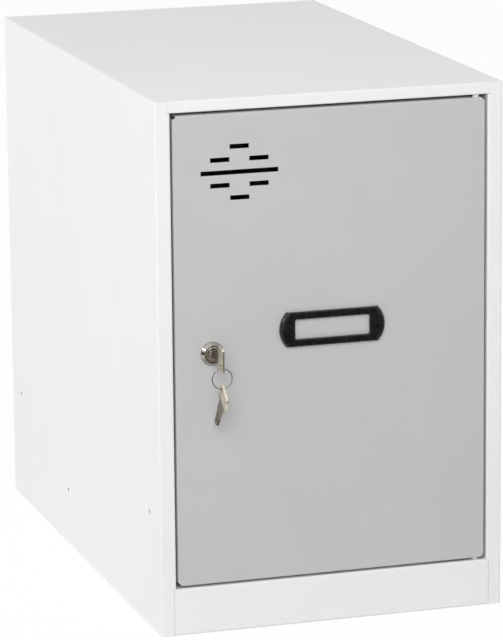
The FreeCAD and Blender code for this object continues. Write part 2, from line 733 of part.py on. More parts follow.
    def buffer_heights(self):
        margin = self.size["buffer_margin"]
        return (self.door_bottom + margin, self.door_top - margin)

    def door_buffers(self):
        """Two rubber buttons pushed into the left stop lip."""
        s = self.size
        body = self.new_body("door_buffers")
        stems = Profile(body, "stems", "XZ", self.stop_face)
        heads = Profile(body, "heads", "XZ", self.stop_face)
        for height in self.buffer_heights():
            heads.circle(self.buffer_x(), height, s["buffer_diameter"])
            stems.circle(self.buffer_x(), height, s["buffer_stem"])
        stems.pad(s["buffer_stem_length"])
        buttons = heads.pad(s["buffer_height"], toward=-1)
        on_top = self.flat_test(1, self.stop_face - s["buffer_height"])
        self.dress_edges("PartDesign::Fillet", body, buttons, on_top, "Radius", s["buffer_round"])

    # hinge

    def hinge_pin(self, label, tip, seat, outward):
        """Headed pin: tip inside the door, seat on the far side of the cabinet's sheet."""
        s = self.size
        body = self.new_body(label)
        self.at_hinge(body)
        radius = s["pin_diameter"] / 2
        head = s["pin_head"] / 2
        end = seat + s["pin_head_height"] * outward
        profile = Profile(body, "profile", "XZ")
        outline = [
            Corner(0, tip),
            Corner(radius - s["pin_chamfer"], tip),
            Corner(radius, tip + s["pin_chamfer"] * outward),
            Corner(radius, seat),
            Corner(head, seat),
            Corner(head, end),
            Corner(0, end),
        ]
        profile.loop(outline)
        profile.revolve()

    def hinge_bush(self, label, edge, gap, outward):
        """Flanged nylon bush in the door's top or bottom edge."""
        s = self.size
        body = self.new_body(label)
        self.at_hinge(body)
        bore = s["pin_diameter"] / 2 + s["running_clearance"]
        inner_end = edge - s["bush_length"] * outward
        outer_end = edge + (gap - s["bush_play"]) * outward
        profile = Profile(body, "profile", "XZ")
        outline = [
            Corner(bore, inner_end),
            Corner(s["bush_barrel"] / 2, inner_end),
            Corner(s["bush_barrel"] / 2, edge),
            Corner(s["bush_flange"] / 2, edge),
            Corner(s["bush_flange"] / 2, outer_end),
            Corner(bore, outer_end),
        ]
        profile.loop(outline)
        profile.revolve()

    def hinges(self):
        s = self.size
        self.hinge_pin(
            "upper_hinge_pin", self.door_top - s["pin_reach"], self.opening_top + s["sheet"], 1
        )
        self.hinge_pin(
            "lower_hinge_pin",
            self.door_bottom + s["pin_reach"],
            s["plinth_height"] - s["sheet"],
            -1,
        )
        self.hinge_bush("upper_hinge_bush", self.door_top, s["door_gap_top"], 1)
        self.hinge_bush("lower_hinge_bush", self.door_bottom, s["door_gap_bottom"], -1)

    # label holder

    def label_holder(self):
        """Moulded frame with bowed ends, a bevelled window, a card recess and two pegs."""
        s = self.size
        body = self.new_body("label_holder")
        half, reach, bulge = s["label_height"] / 2, s["label_straight"] / 2, s["label_bulge"]
        bow = (half * half + bulge * bulge) / (bulge * 2)
        middle = s["label_centre"]
        outline = [
            Corner(-reach, middle - half),
            Corner(reach, middle - half, arc=bow),
            Corner(reach, middle + half),
            Corner(-reach, middle + half, arc=bow),
        ]
        frame = Profile(body, "frame", "XZ", self.door_face)
        frame.loop(outline)
        block = frame.pad(s["label_thickness"], toward=-1)
        front = self.door_face - s["label_thickness"]

        def at_corner(edge):
            return abs(edge.BoundBox.YLength - s["label_thickness"].value) < 1e-6

        rounded = self.dress_edges(
            "PartDesign::Fillet", body, block, at_corner, "Radius", s["label_corner"]
        )
        self.dress_edges(
            "PartDesign::Fillet", body, rounded, self.flat_test(1, front), "Radius", s["label_round"]
        )

        window = Profile(body, "window", "XZ", front)
        half_window, rise = s["window_width"] / 2, s["window_height"] / 2
        window.rectangle(
            -half_window, middle - rise, half_window, middle + rise, s["window_corner"]
        )
        opening = window.pocket(s["label_thickness"])

        def round_window(edge):
            box = edge.BoundBox
            flat = box.YMax - front.value < 1e-6
            return flat and max(-box.XMin, box.XMax) < half_window.value + 1e-6

        self.dress_edges(
            "PartDesign::Chamfer", body, opening, round_window, "Size", s["window_bevel"]
        )
        card = Profile(body, "card_recess", "XZ", self.door_face)
        edge, tall = half_window + s["card_margin"], rise + s["card_margin"]
        card.rectangle(-edge, middle - tall, edge, middle + tall)
        card.pocket(s["card_depth"], toward=-1)
        pegs = Profile(body, "pegs", "XZ", self.door_face)
        for offset in (-0.5, 0.5):
            pegs.circle(s["peg_spacing"] * offset, middle, s["peg_diameter"])
        pegs.pad(s["peg_length"])

    # lock, in a frame of its own on the lock axis at the door face

    def lock_housing(self):
        """Bezel and barrel with two flats, bored for the plug, with shoulders for its stop tab."""
        s = self.size
        body = self.new_body("lock_housing")
        self.at_lock(body)
        bore = s["plug_diameter"] / 2 + s["running_clearance"]
        flange_bore = s["plug_flange"] / 2 + s["running_clearance"]
        rim, barrel = s["bezel_diameter"] / 2, s["barrel_diameter"] / 2
        crown = -s["bezel_height"]
        ledge = self.plug_face + s["plug_flange_height"] + s["plug_play"]
        profile = Profile(body, "profile", "XY")
        outline = [
            Corner(rim, 0),
            Corner(rim, -s["bezel_edge"]),
            Corner(rim - s["bezel_cone"], crown),
            Corner(flange_bore, crown),
            Corner(flange_bore, ledge),
            Corner(bore, ledge),
            Corner(bore, self.stop_floor),
            Corner(s["stop_bore"] / 2, self.stop_floor),
            Corner(s["stop_bore"] / 2, self.barrel_end),
            Corner(barrel, self.barrel_end),
            Corner(barrel, 0),
        ]
        profile.loop(outline)
        turned = profile.revolve()

        def on_bezel(edge):
            radii = (rim.value, rim.value - s["bezel_cone"].value)
            in_front = all(vertex.Point.y < -1e-6 for vertex in edge.Vertexes)
            return in_front and edge.Closed and min(abs(edge.Curve.Radius - r) for r in radii) < 1e-6

        self.dress_edges("PartDesign::Fillet", body, turned, on_bezel, "Radius", s["bezel_round"])
        flats = Profile(body, "flats", "XZ")
        reach = barrel + s["overshoot"]
        across = s["barrel_flats"] / 2
        flats.rectangle(across, -reach, reach, reach)
        flats.rectangle(-reach, -reach, -across, reach)
        flats.pocket(self.barrel_end)
        # the tab turns in a quarter of the rear rim, between two square shoulders
        quarter = Profile(body, "stop_quarter", "XZ", self.stop_floor)
        shoulder = -(s["stop_tab_width"] / 2 + s["stop_clearance"])
        quarter.rectangle(shoulder, shoulder, reach, reach)
        quarter.pocket(s["stop_washer_thickness"] + s["overshoot"])

    def lock_plug(self):
        """Turning plug with a dished face, keyway, wafer slots, square drive and tapped end."""
        s = self.size
        body = self.new_body("lock_plug")
        self.at_lock(body)
        flange, radius = s["plug_flange"] / 2, s["plug_diameter"] / 2
        ledge = self.plug_face + s["plug_flange_height"]
        dish = self.plug_face + s["plug_dish_depth"]
        well = dish + s["plug_well_depth"]
        profile = Profile(body, "profile", "XY")
        outline = [
            Corner(0, well),
            Corner(s["plug_well"] / 2, well),
            Corner(s["plug_well"] / 2, dish),
            Corner(s["plug_dish"] / 2, dish),
            Corner(s["plug_dish"] / 2, self.plug_face),
            Corner(flange - s["plug_bevel"], self.plug_face),
            Corner(flange, self.plug_face + s["plug_bevel"]),
            Corner(flange, ledge),
            Corner(radius, ledge),
            Corner(radius, self.plug_end),
            Corner(0, self.plug_end),
        ]
        profile.loop(outline)
        profile.revolve()
        drive = Profile(body, "drive", "XZ", self.plug_end)
        half_drive = s["drive_square"] / 2
        drive.rectangle(-half_drive, -half_drive, half_drive, half_drive)
        drive.pad(self.cam_rear - s["drive_short"] - self.plug_end)
        keyway = Profile(body, "keyway", "XZ", self.plug_face)
        across, tall = self.keyway_width / 2, self.keyway_height / 2
        keyway.rectangle(-across, -tall, across, tall)
        keyway.pocket(s["blade_length"] + s["keyway_end"])
        slots = Profile(body, "wafer_slots", "XY")
        half_slot = s["wafer_width"] / 2 + s["wafer_clearance"]
        half_gap = s["wafer_thickness"] / 2 + s["wafer_clearance"]
        for i in range(int(s["wafer_count"].value)):
            middle = self.plug_face + s["wafer_first"] + s["wafer_pitch"] * i
            slots.rectangle(-half_slot, middle - half_gap, half_slot, middle + half_gap)
        slots.pocket(s["plug_diameter"] + s["overshoot"], toward=0)
        tapped = Profile(body, "tapped_hole", "XZ", self.cam_rear)
        tapped.circle(0, 0, s["screw_diameter"] + s["hole_clearance"] * 2)
        tapped.pocket(s["screw_length"] + s["overshoot"], toward=-1)

    def wafer_tumblers(self):
        """Wafers with rounded ends and a window for the blade, in a row along the plug."""
        s = self.size
        body = self.new_body("wafer_tumblers")
        self.at_lock(body)
        radius = s["plug_diameter"] / 2 - s["wafer_clearance"]
        half = s["wafer_width"] / 2
        rise = (radius * radius - half * half).root()
        first = self.plug_face + s["wafer_first"] - s["wafer_thickness"] / 2
        profile = Profile(body, "wafer", "XZ", first)
        outline = [
            Corner(half, -rise),
            Corner(half, rise, arc=radius),
            Corner(-half, rise),
            Corner(-half, -rise, arc=radius),
        ]
        profile.loop(outline)
        across, tall = self.keyway_width / 2, self.keyway_height / 2
        profile.rectangle(-across, -tall, across, tall)
        wafer = profile.pad(s["wafer_thickness"])
        row = body.newObject("PartDesign::LinearPattern", "wafer_row")
        row.Originals = [wafer]
        along_y = [item for item in body.Origin.OriginFeatures if item.Role == "Y_Axis"]
        row.Direction = (along_y[0], [""])
        row.Mode = "Spacing"
        row.setExpression("Offset", s["wafer_pitch"].text)
        row.setExpression("Occurrences", s["wafer_count"].text)
        body.Tip = row

    def flat_piece(self, label, level, thickness, outlines):
        """A flat piece of the lock: outlines(profile) draws it, square to the lock axis."""
        body = self.new_body(label)
        self.at_lock(body)
        profile = Profile(body, "outline", "XZ", level)
        outlines(profile)
        profile.pad(thickness)
        return body

    def lock_fasteners(self):
        """Washer and hexagon nut that clamp the lock in the door."""
        s = self.size
        bore = s["barrel_diameter"] + s["hole_clearance"] * 2

        def washer(profile):
            profile.circle(0, 0, s["washer_diameter"])
            profile.circle(0, 0, bore)

        def nut(profile):
            flat = s["nut_across"] / 2
            side = flat * math.tan(math.radians(30))
            point = flat / math.cos(math.radians(30))
            corners = ((flat, -side), (flat, side), (0, point), (-flat, side), (-flat, -side))
            profile.loop([Corner(u, v) for u, v in corners + ((0, -point),)])
            profile.circle(0, 0, bore)

        seat = s["door_sheet"]
        self.flat_piece("lock_washer", seat, s["washer_thickness"], washer)
        self.flat_piece("lock_nut", seat + s["washer_thickness"], s["nut_thickness"], nut)

    def cam_pieces(self):
        """Stop washer and cam on the square drive, and the screw that holds them."""
        s = self.size
        hole = s["drive_square"] / 2 + s["drive_clearance"]

        def stop_washer(profile):
            profile.circle(0, 0, s["stop_washer_diameter"])
            profile.rectangle(-hole, -hole, hole, hole)

        def cam(profile):
            half = s["cam_width"] / 2
            plate = [
                Corner(-half, -s["cam_length"], s["cam_tip_round"]),
                Corner(half, -s["cam_length"], s["cam_tip_round"]),
                Corner(half, half, s["cam_hub_round"]),
                Corner(-half, half, s["cam_hub_round"]),
            ]
            profile.loop(plate)
            profile.rectangle(-hole, -hole, hole, hole)

        thickness = s["stop_washer_thickness"]
        washer = self.flat_piece("stop_washer", self.plug_end, thickness, stop_washer)
        half_tab, root = s["stop_tab_width"] / 2, s["stop_washer_diameter"] / 2 - s["overshoot"]
        tab = Profile(washer, "tab", "XZ", self.plug_end)
        tab.rectangle(-half_tab, root, half_tab, s["stop_tab_reach"])
        tab.pad(thickness)
        self.flat_piece("lock_cam", self.cam_front, s["cam_thickness"], cam)

        body = self.new_body("cam_screw")
        self.at_lock(body)
        shank, head = s["screw_diameter"] / 2, s["screw_head"] / 2
        top = self.cam_rear + s["screw_head_height"]
        profile = Profile(body, "profile", "XY")
        outline = [
            Corner(0, self.cam_rear - s["screw_length"]),
            Corner(shank, self.cam_rear - s["screw_length"]),
            Corner(shank, self.cam_rear),
            Corner(head, self.cam_rear),
            Corner(head, top),
            Corner(0, top),
        ]
        profile.loop(outline)
        profile.revolve()
        slot = Profile(body, "slot", "XZ", top)
        half_slot = s["screw_slot"] / 2
        slot.rectangle(-head - s["overshoot"], -half_slot, head + s["overshoot"], half_slot)
        slot.pocket(s["screw_slot"], toward=-1)

    # keys and ring

    def key_body(self, label):
        """Flat key in a frame of its own: the plug's face at the origin, blade along +Y."""
        s = self.size
        body = self.new_body(label)
        bow_end = -(s["neck_length"] + s["bow_width"])
        half_bow = s["bow_height"] / 2
        bow = Profile(body, "bow", "YZ")
        bow.rectangle(bow_end, -half_bow, -s["neck_length"], half_bow, s["bow_corner"])
        bow.circle(-self.hole_reach, -s["ring_hole_offset"], s["ring_hole"])
        plate = bow.pad(s["key_thickness"], toward=0)
        faces = [self.flat_test(0, s["key_thickness"] / 2 * side) for side in (-1, 1)]

        def on_rim(edge):
            return not edge.Closed and any(on_face(edge) for on_face in faces)

        self.dress_edges("PartDesign::Fillet", body, plate, on_rim, "Radius", s["bow_round"])

        blade = Profile(body, "blade", "YZ")
        shoulder, edge, tip = s["shoulder_height"] / 2, s["blade_height"] / 2, s["blade_tip_height"] / 2
        stop, taper = -s["shoulder_gap"], s["blade_length"] - s["blade_tip"]
        root = -s["neck_length"] - s["overshoot"]
        lower = [
            Corner(root, -shoulder),
            Corner(stop, -shoulder),
            Corner(stop, -edge),
            Corner(taper, -edge),
            Corner(s["blade_length"], -tip),
        ]
        upper = [Corner(corner.u, -corner.v) for corner in lower[::-1]]
        blade.loop(lower + upper)
        blade.pad(s["key_thickness"], toward=0)

        cuts = Profile(body, "bitting", "YZ")
        half_cut = s["bitting_width"] / 2
        for i in range(int(s["wafer_count"].value) - 1):
            middle = s["wafer_first"] + s["wafer_pitch"] * (i + 0.5) - s["shoulder_gap"]
            for sign in (-1, 1):
                triangle = [
                    Corner(middle - half_cut, edge * sign),
                    Corner(middle + half_cut, edge * sign),
                    Corner(middle, (edge - s["bitting_depth"]) * sign),
                ]
                cuts.loop(triangle)
        cuts.pocket(s["key_thickness"], toward=0)

        half_groove = s["key_groove_width"] / 2
        for name, side in (("left", -1), ("right", 1)):
            groove = Profile(body, f"{name}_groove", "YZ", s["key_thickness"] / 2 * side)
            groove.rectangle(stop, -half_groove, s["blade_length"] + s["overshoot"], half_groove)
            groove.pocket(s["key_groove_depth"], toward=-side)
        return body

    def key(self):
        self.at_lock(self.key_body("key"), self.plug_face)

    def key_ring(self):
        """Wire ring that hangs square to the key, with its butt joint on the right."""
        s = self.size
        ring = self.doc.addObject("Part::Torus", "key_ring")
        self.sub_parts.append(ring)
        ring.setExpression("Radius1", (s["ring_diameter"] / 2).text)
        ring.setExpression("Radius2", (s["wire_diameter"] / 2).text)
        ring.setExpression("Angle3", (dim(360) - s["ring_gap"]).text)
        ring.Placement.Rotation = FreeCAD.Rotation(FreeCAD.Vector(1, 0, 0), 90)
        ring.setExpression("Placement.Base.x", self.lock_x.text)
        ring.setExpression("Placement.Base.y", self.wire_y.text)
        ring.setExpression("Placement.Base.z", self.ring_z.text)

    def spare_key(self):
        """Second key, upside down on the bottom of the ring, tilted as it hangs."""
        s = self.size
        body = self.key_body("spare_key")
        tilt = s["spare_tilt"]
        flip = FreeCAD.Rotation(FreeCAD.Vector(0, 1, 0), 180)
        lean = FreeCAD.Rotation(FreeCAD.Vector(1, 0, 0), -tilt.value)
        body.Placement.Rotation = lean.multiply(flip)
        # from the wire in the bow's hole to the key's own origin, before and after the tilt
        ahead, below = self.hole_reach, self.wire_drop
        body.setExpression("Placement.Base.x", self.lock_x.text)
        shift_y = ahead * tilt.cosine() - below * tilt.sine()
        shift_z = -(ahead * tilt.sine()) - below * tilt.cosine()
        body.setExpression("Placement.Base.y", (self.wire_y + shift_y).text)
        body.setExpression("Placement.Base.z", (self.ring_low + shift_z).text)

    def build(self):
        self.left_side_panel()
        self.side_panel("right_side_panel", 1)
        self.top_panel()
        self.base_panel()
        self.back_panel()
        self.door_panel()
        self.door_stiffener()
        self.door_buffers()
        self.hinges()
        self.label_holder()
        self.lock_housing()
        self.lock_plug()
        self.wafer_tumblers()
        self.lock_fasteners()
        self.cam_pieces()
        self.key()
        self.key_ring()
        self.spare_key()
        self.doc.recompute()

    def check(self):
        """Stop if an object failed, a shape is unsound or a feature changed nothing."""
        for item in self.doc.Objects:
            if {"Invalid", "Error"} & set(item.State):
                raise RuntimeError(f"{item.Label}: {item.State}")
        for part in self.sub_parts:
            if part.Shape.isNull() or not part.Shape.isValid() or not part.Shape.Solids:
                raise RuntimeError(f"{part.Label}: unsound shape")
            volume = 0.0
            for feature in getattr(part, "Group", []):
                if feature.isDerivedFrom("PartDesign::Feature"):
                    if abs(feature.Shape.Volume - volume) < 1e-6:
                        raise RuntimeError(f"{feature.Label}: changes nothing")
                    volume = feature.Shape.Volume

    def export(self):
        os.makedirs("parts", exist_ok=True)
        for part in self.sub_parts:
            part.Shape.exportStep(f"parts/{part.Label}.step")
            box = part.Shape.BoundBox
            print(
                f"{part.Label}: {len(part.Shape.Solids)} solid(s), {part.Shape.Volume:.0f} mm3, "
                f"x {box.XMin:.1f}..{box.XMax:.1f} y {box.YMin:.1f}..{box.YMax:.1f} "
                f"z {box.ZMin:.1f}..{box.ZMax:.1f}"
            )


locker = Locker()
locker.build()
locker.check()
locker.export()
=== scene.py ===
"""Looks of a compact single-door steel locker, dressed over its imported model.

The cabinet and its door are folded sheet steel with a powder coat. A plated cam lock carries two
keys on a wire ring, and a moulded label holder sits beside it. Lengths are metres unless a name
ends in _mm or _um, and pieces are placed from the boxes of the frame's nodes.
"""

import json
import logging
import math
from abc import ABC, abstractmethod
from dataclasses import dataclass, replace
from enum import Enum
from typing import Any, Iterable, Optional, Union

import bmesh
import bpy
from mathutils import Matrix, Vector


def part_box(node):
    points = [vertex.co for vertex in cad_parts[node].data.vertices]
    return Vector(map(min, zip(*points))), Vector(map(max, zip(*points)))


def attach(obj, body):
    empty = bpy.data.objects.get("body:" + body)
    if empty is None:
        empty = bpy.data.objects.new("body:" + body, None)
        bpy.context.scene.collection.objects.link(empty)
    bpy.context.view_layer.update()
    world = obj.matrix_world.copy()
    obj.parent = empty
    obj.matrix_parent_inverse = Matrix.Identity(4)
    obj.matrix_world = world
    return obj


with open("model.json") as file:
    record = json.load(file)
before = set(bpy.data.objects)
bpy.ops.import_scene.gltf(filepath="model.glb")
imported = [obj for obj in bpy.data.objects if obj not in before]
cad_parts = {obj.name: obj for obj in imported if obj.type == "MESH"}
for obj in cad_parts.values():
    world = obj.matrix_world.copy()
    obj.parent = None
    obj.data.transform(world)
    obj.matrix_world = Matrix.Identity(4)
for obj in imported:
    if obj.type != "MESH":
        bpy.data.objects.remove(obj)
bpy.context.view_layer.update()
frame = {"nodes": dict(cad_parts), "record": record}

LOG = logging.getLogger("locker")
PICTURE_HEIGHT_PX = 640
SENSOR_MM = 36.0
MM = 0.001
MICRON = 1e-6
SHARP_EDGE_DEG = 38.0
WHITE = (1.0, 1.0, 1.0, 1.0)

# values of a noise between which one patch fades into the next
PATCH_EDGES = (0.3, 0.7)

# spacing of the wave texture's rings at a scale of 1
WAVE_RING = math.tau / 20

SocketName = Union[str, int]
Settings = dict[SocketName, Any]
Links = dict[SocketName, bpy.types.NodeSocket]
Outline = tuple[tuple[float, float], ...]


class Slot(Enum):
    """Material slots of the record."""

    WHITE_POWDER_COAT = "white_powder_coat"
    GREY_POWDER_COAT = "grey_powder_coat"
    BLACK_PLASTIC = "black_plastic"
    LOCK_CHROME = "lock_chrome"
    KEY_NICKEL = "key_nickel"
    WAFER_BRASS = "wafer_brass"
    ZINC_PLATED_STEEL = "zinc_plated_steel"
    WHITE_NYLON = "white_nylon"
    BUFFER_RUBBER = "buffer_rubber"


class Body(Enum):
    """Bodies of the frame that added pieces ride on."""

    CABINET = "cabinet"
    DOOR = "door"
    PLUG = "plug"


def linear(hex_colour: str) -> tuple[float, float, float, float]:
    """Turn an sRGB hex colour into linear light.

    Args:
        hex_colour: Colour as "#rrggbb".

    Returns:
        Linear red, green, blue and an alpha of 1.
    """
    channels = []
    for start in (1, 3, 5):
        value = int(hex_colour[start : start + 2], 16) / 255
        channels.append(value / 12.92 if value <= 0.04045 else ((value + 0.055) / 1.055) ** 2.4)
    return (*channels, 1.0)


def per_metre(size_mm: float) -> float:
    """Scale of a noise whose features are size_mm across."""
    return 1000.0 / size_mm


def add_node(
    tree: bpy.types.NodeTree,
    kind: str,
    settings: Optional[Settings] = None,
    links: Optional[Links] = None,
) -> bpy.types.Node:
    """Add a node with its settings and links.

    Args:
        tree: Node tree that gets the node.
        kind: Blender's name of the node type.
        settings: Socket values by socket name or number, or node properties by name.
        links: Sockets that feed the node, by socket name or number.

    Returns:
        The new node.
    """
    node = tree.nodes.new(kind)
    for key, value in (settings or {}).items():
        if isinstance(key, str) and hasattr(node, key):
            setattr(node, key, value)
        else:
            node.inputs[key].default_value = value
    for key, socket in (links or {}).items():
        tree.links.new(socket, node.inputs[key])
    return node


def bare_material(name: str) -> bpy.types.Material:
    """Start a material with an empty node tree.

    Args:
        name: Name of the material.

    Returns:
        The new material.
    """
    material = bpy.data.materials.new(name)
    material.use_nodes = True
    material.node_tree.nodes.clear()
    return material


def whole_turn(steps: int) -> list[float]:
    """Angles of a whole turn in even steps."""
    return [math.tau * step / steps for step in range(steps)]


def even_row(count: int, pitch: float) -> list[float]:
    """Places of a row with an even pitch, measured from its middle."""
    return [(index - (count - 1) / 2) * pitch for index in range(count)]


def polar(axis: Vector, radius: float, angle: float, height: float) -> Vector:
    """Point beside an axis along Y, with its angle from X toward Z."""
    return axis + Vector((radius * math.cos(angle), height, radius * math.sin(angle)))


def section_at(place: Vector, outline: Outline, turn: float) -> list[Vector]:
    """Corners of an outline, as radius and height in mm, at one turn about an axis along Y."""
    return [polar(place, radius * MM, turn, height * MM) for radius, height in outline]


def sweep(mesh: bmesh.types.BMesh, sections: list[list[Vector]], closed: bool) -> None:
    """Skin a row of sections that have the same number of corners.

    Args:
        mesh: Mesh that gets the faces.
        sections: Corners of each section, in order round it.
        closed: Whether the last section joins the first. If not, both ends get a cap.
    """
    rows = [[mesh.verts.new(corner) for corner in section] for section in sections]
    pairs = list(zip(rows, rows[1:]))
    if closed:
        pairs.append((rows[-1], rows[0]))
    else:
        mesh.faces.new(rows[0])
        mesh.faces.new(rows[-1])
    for near, far in pairs:
        for corner in range(len(near)):
            after = (corner + 1) % len(near)
            mesh.faces.new((near[corner], near[after], far[after], far[corner]))


@dataclass(frozen=True)
class Finish(ABC):
    """A surface as its maker leaves it: two close tones, uneven gloss and a relief.

    Attributes:
        name: Material name.
        colour: Main tone, sRGB hex.
        shade: Second tone that the surface drifts to.
        drift_mm: Size of the patches between the two tones.
        gloss: Lowest and highest roughness.
        smear_mm: Size of the patches of uneven gloss.
    """

    name: str
    colour: str
    shade: str
    drift_mm: float
    gloss: tuple[float, float]
    smear_mm: float

    @abstractmethod
    def constants(self) -> Settings:
        """Socket values of the shader that are the same all over the surface."""

    @abstractmethod
    def relief(self, tree: bpy.types.NodeTree, place: bpy.types.NodeSocket) -> bpy.types.NodeSocket:
        """Add the nodes of the relief.

        Args:
            tree: The material's node tree.
            place: Position on the piece, in metres.

        Returns:
            The bumped normal.
        """

    def tones(self, tree: bpy.types.NodeTree, place: bpy.types.NodeSocket) -> bpy.types.NodeSocket:
        """Add the nodes of the colour, in patches of the two tones.

        Args:
            tree: The material's node tree.
            place: Position on the piece, in metres.

        Returns:
            The colour.
        """
        patches = add_node(
            tree,
            "ShaderNodeTexNoise",
            {"Scale": per_metre(self.drift_mm), "Detail": 4.0, "Roughness": 0.6},
            {"Vector": place},
        )
        tones = add_node(tree, "ShaderNodeValToRGB", links={"Fac": patches.outputs["Fac"]})
        stops = tones.color_ramp.elements
        for stop, tone, edge in zip(stops, (self.shade, self.colour), PATCH_EDGES):
            stop.color = linear(tone)
            stop.position = edge
        return tones.outputs["Color"]

    def material(self) -> bpy.types.Material:
        """Build the material with its tones, gloss and relief.

        Returns:
            The new material.
        """
        material = bare_material(self.name)
        tree = material.node_tree
        place = add_node(tree, "ShaderNodeTexCoord").outputs["Object"]
        smears = add_node(
            tree,
            "ShaderNodeTexNoise",
            {"Scale": per_metre(self.smear_mm), "Detail": 3.0},
            {"Vector": place},
        )
        gloss = add_node(
            tree,
            "ShaderNodeMapRange",
            {
                "From Min": PATCH_EDGES[0],
                "From Max": PATCH_EDGES[1],
                "To Min": self.gloss[0],
                "To Max": self.gloss[1],
            },
            {"Value": smears.outputs["Fac"]},
        )
        shader = add_node(
            tree,
            "ShaderNodeBsdfPrincipled",
            self.constants(),
            {
                "Base Color": self.tones(tree, place),
                "Roughness": gloss.outputs["Result"],
                "Normal": self.relief(tree, place),
            },
        )
        add_node(tree, "ShaderNodeOutputMaterial", links={"Surface": shader.outputs["BSDF"]})
        return material


@dataclass(frozen=True)
class PowderCoat(Finish):
    """Polyester powder baked on sheet steel: a hard even film with a fine orange peel.

    Attributes:
        peel_mm: Width of the peel's dimples.
        peel_depth_um: Depth of the peel.
        wave_mm: Length of the thin sheet's slow waves.
        wave_depth_um: Depth of those waves.
    """

    peel_mm: float = 1.8
    peel_depth_um: float = 9.0
    wave_mm: float = 140.0
    wave_depth_um: float = 130.0

    def constants(self) -> Settings:
        """A polyester film, with its usual index."""
        return {"Metallic": 0.0, "IOR": 1.5}

    def relief(self, tree: bpy.types.NodeTree, place: bpy.types.NodeSocket) -> bpy.types.NodeSocket:
        """Add the slow waves of the sheet under the orange peel of the film.

        Args:
            tree: The material's node tree.
            place: Position on the piece, in metres.

        Returns:
            The bumped normal.
        """
        waves = add_node(
            tree,
            "ShaderNodeTexNoise",
            {"Scale": per_metre(self.wave_mm), "Detail": 1.0},
            {"Vector": place},
        )
        sheet = add_node(
            tree,
            "ShaderNodeBump",
            {"Strength": 1.0, "Distance": self.wave_depth_um * MICRON},
            {"Height": waves.outputs["Fac"]},
        )
        dimples = add_node(
            tree,
            "ShaderNodeTexNoise",
            {"Scale": per_metre(self.peel_mm), "Detail": 2.0},
            {"Vector": place},
        )
        film = add_node(
            tree,
            "ShaderNodeBump",
            {"Strength": 1.0, "Distance": self.peel_depth_um * MICRON},
            {"Height": dimples.outputs["Fac"], "Normal": sheet.outputs["Normal"]},
        )
        return film.outputs["Normal"]


@dataclass(frozen=True)
class Metal(Finish):
    """Bare or plated metal with the grain of the tool that made it.

    Attributes:
        grain_mm: Size of the grain along X, Y and Z.
        grain_depth_um: Depth of the grain.
    """

    grain_mm: tuple[float, float, float] = (0.6, 0.6, 0.6)
    grain_depth_um: float = 4.0

    def constants(self) -> Settings:
        """A metal with the shader's own index."""
        return {"Metallic": 1.0}

    def relief(self, tree: bpy.types.NodeTree, place: bpy.types.NodeSocket) -> bpy.types.NodeSocket:
        """Add a grain that may be drawn out along one axis.

        Args:
            tree: The material's node tree.
            place: Position on the piece, in metres.

        Returns:
            The bumped normal.
        """
        stretch = add_node(
            tree,
            "ShaderNodeMapping",
            {"Scale": tuple(per_metre(size) for size in self.grain_mm)},
            {"Vector": place},
        )
        grain = add_node(
            tree,
            "ShaderNodeTexNoise",
            {"Scale": 1.0, "Detail": 3.0, "Roughness": 0.6},
            {"Vector": stretch.outputs["Vector"]},
        )
        bump = add_node(
            tree,
            "ShaderNodeBump",
            {"Strength": 1.0, "Distance": self.grain_depth_um * MICRON},
            {"Height": grain.outputs["Fac"]},
        )
        return bump.outputs["Normal"]


@dataclass(frozen=True)
class TurnedMetal(Metal):
    """Metal turned on a lathe, with fine grooves round the lock's axis.

    Attributes:
        axis_node: CAD node whose middle lies on the axis, which runs along Y.
        groove_mm: Grooves from each other, coarser than a real cut so that they show.
        groove_depth_um: Depth of the grooves.
    """

    axis_node: str = "lock_plug"
    groove_mm: float = 0.8
    groove_depth_um: float = 30.0

    def relief(self, tree: bpy.types.NodeTree, place: bpy.types.NodeSocket) -> bpy.types.NodeSocket:
        """Add the rings of the turning tool.

        Args:
            tree: The material's node tree.
            place: Position on the piece, in metres.

        Returns:
            The bumped normal.
        """
        low, high = (Vector(corner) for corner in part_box(self.axis_node))
        about_axis = add_node(
            tree,
            "ShaderNodeMapping",
            {"vector_type": "TEXTURE", "Location": (low + high) / 2},
            {"Vector": place},
        )
        rings = add_node(
            tree,
            "ShaderNodeTexWave",
            {
                "wave_type": "RINGS",
                "rings_direction": "Y",
                "Scale": per_metre(self.groove_mm) * WAVE_RING,
                "Distortion": 0.6,
                "Detail": 1.0,
            },
            {"Vector": about_axis.outputs["Vector"]},
        )
        bump = add_node(
            tree,
            "ShaderNodeBump",
            {"Strength": 1.0, "Distance": self.groove_depth_um * MICRON},
            {"Height": rings.outputs["Fac"]},
        )
        return bump.outputs["Normal"]


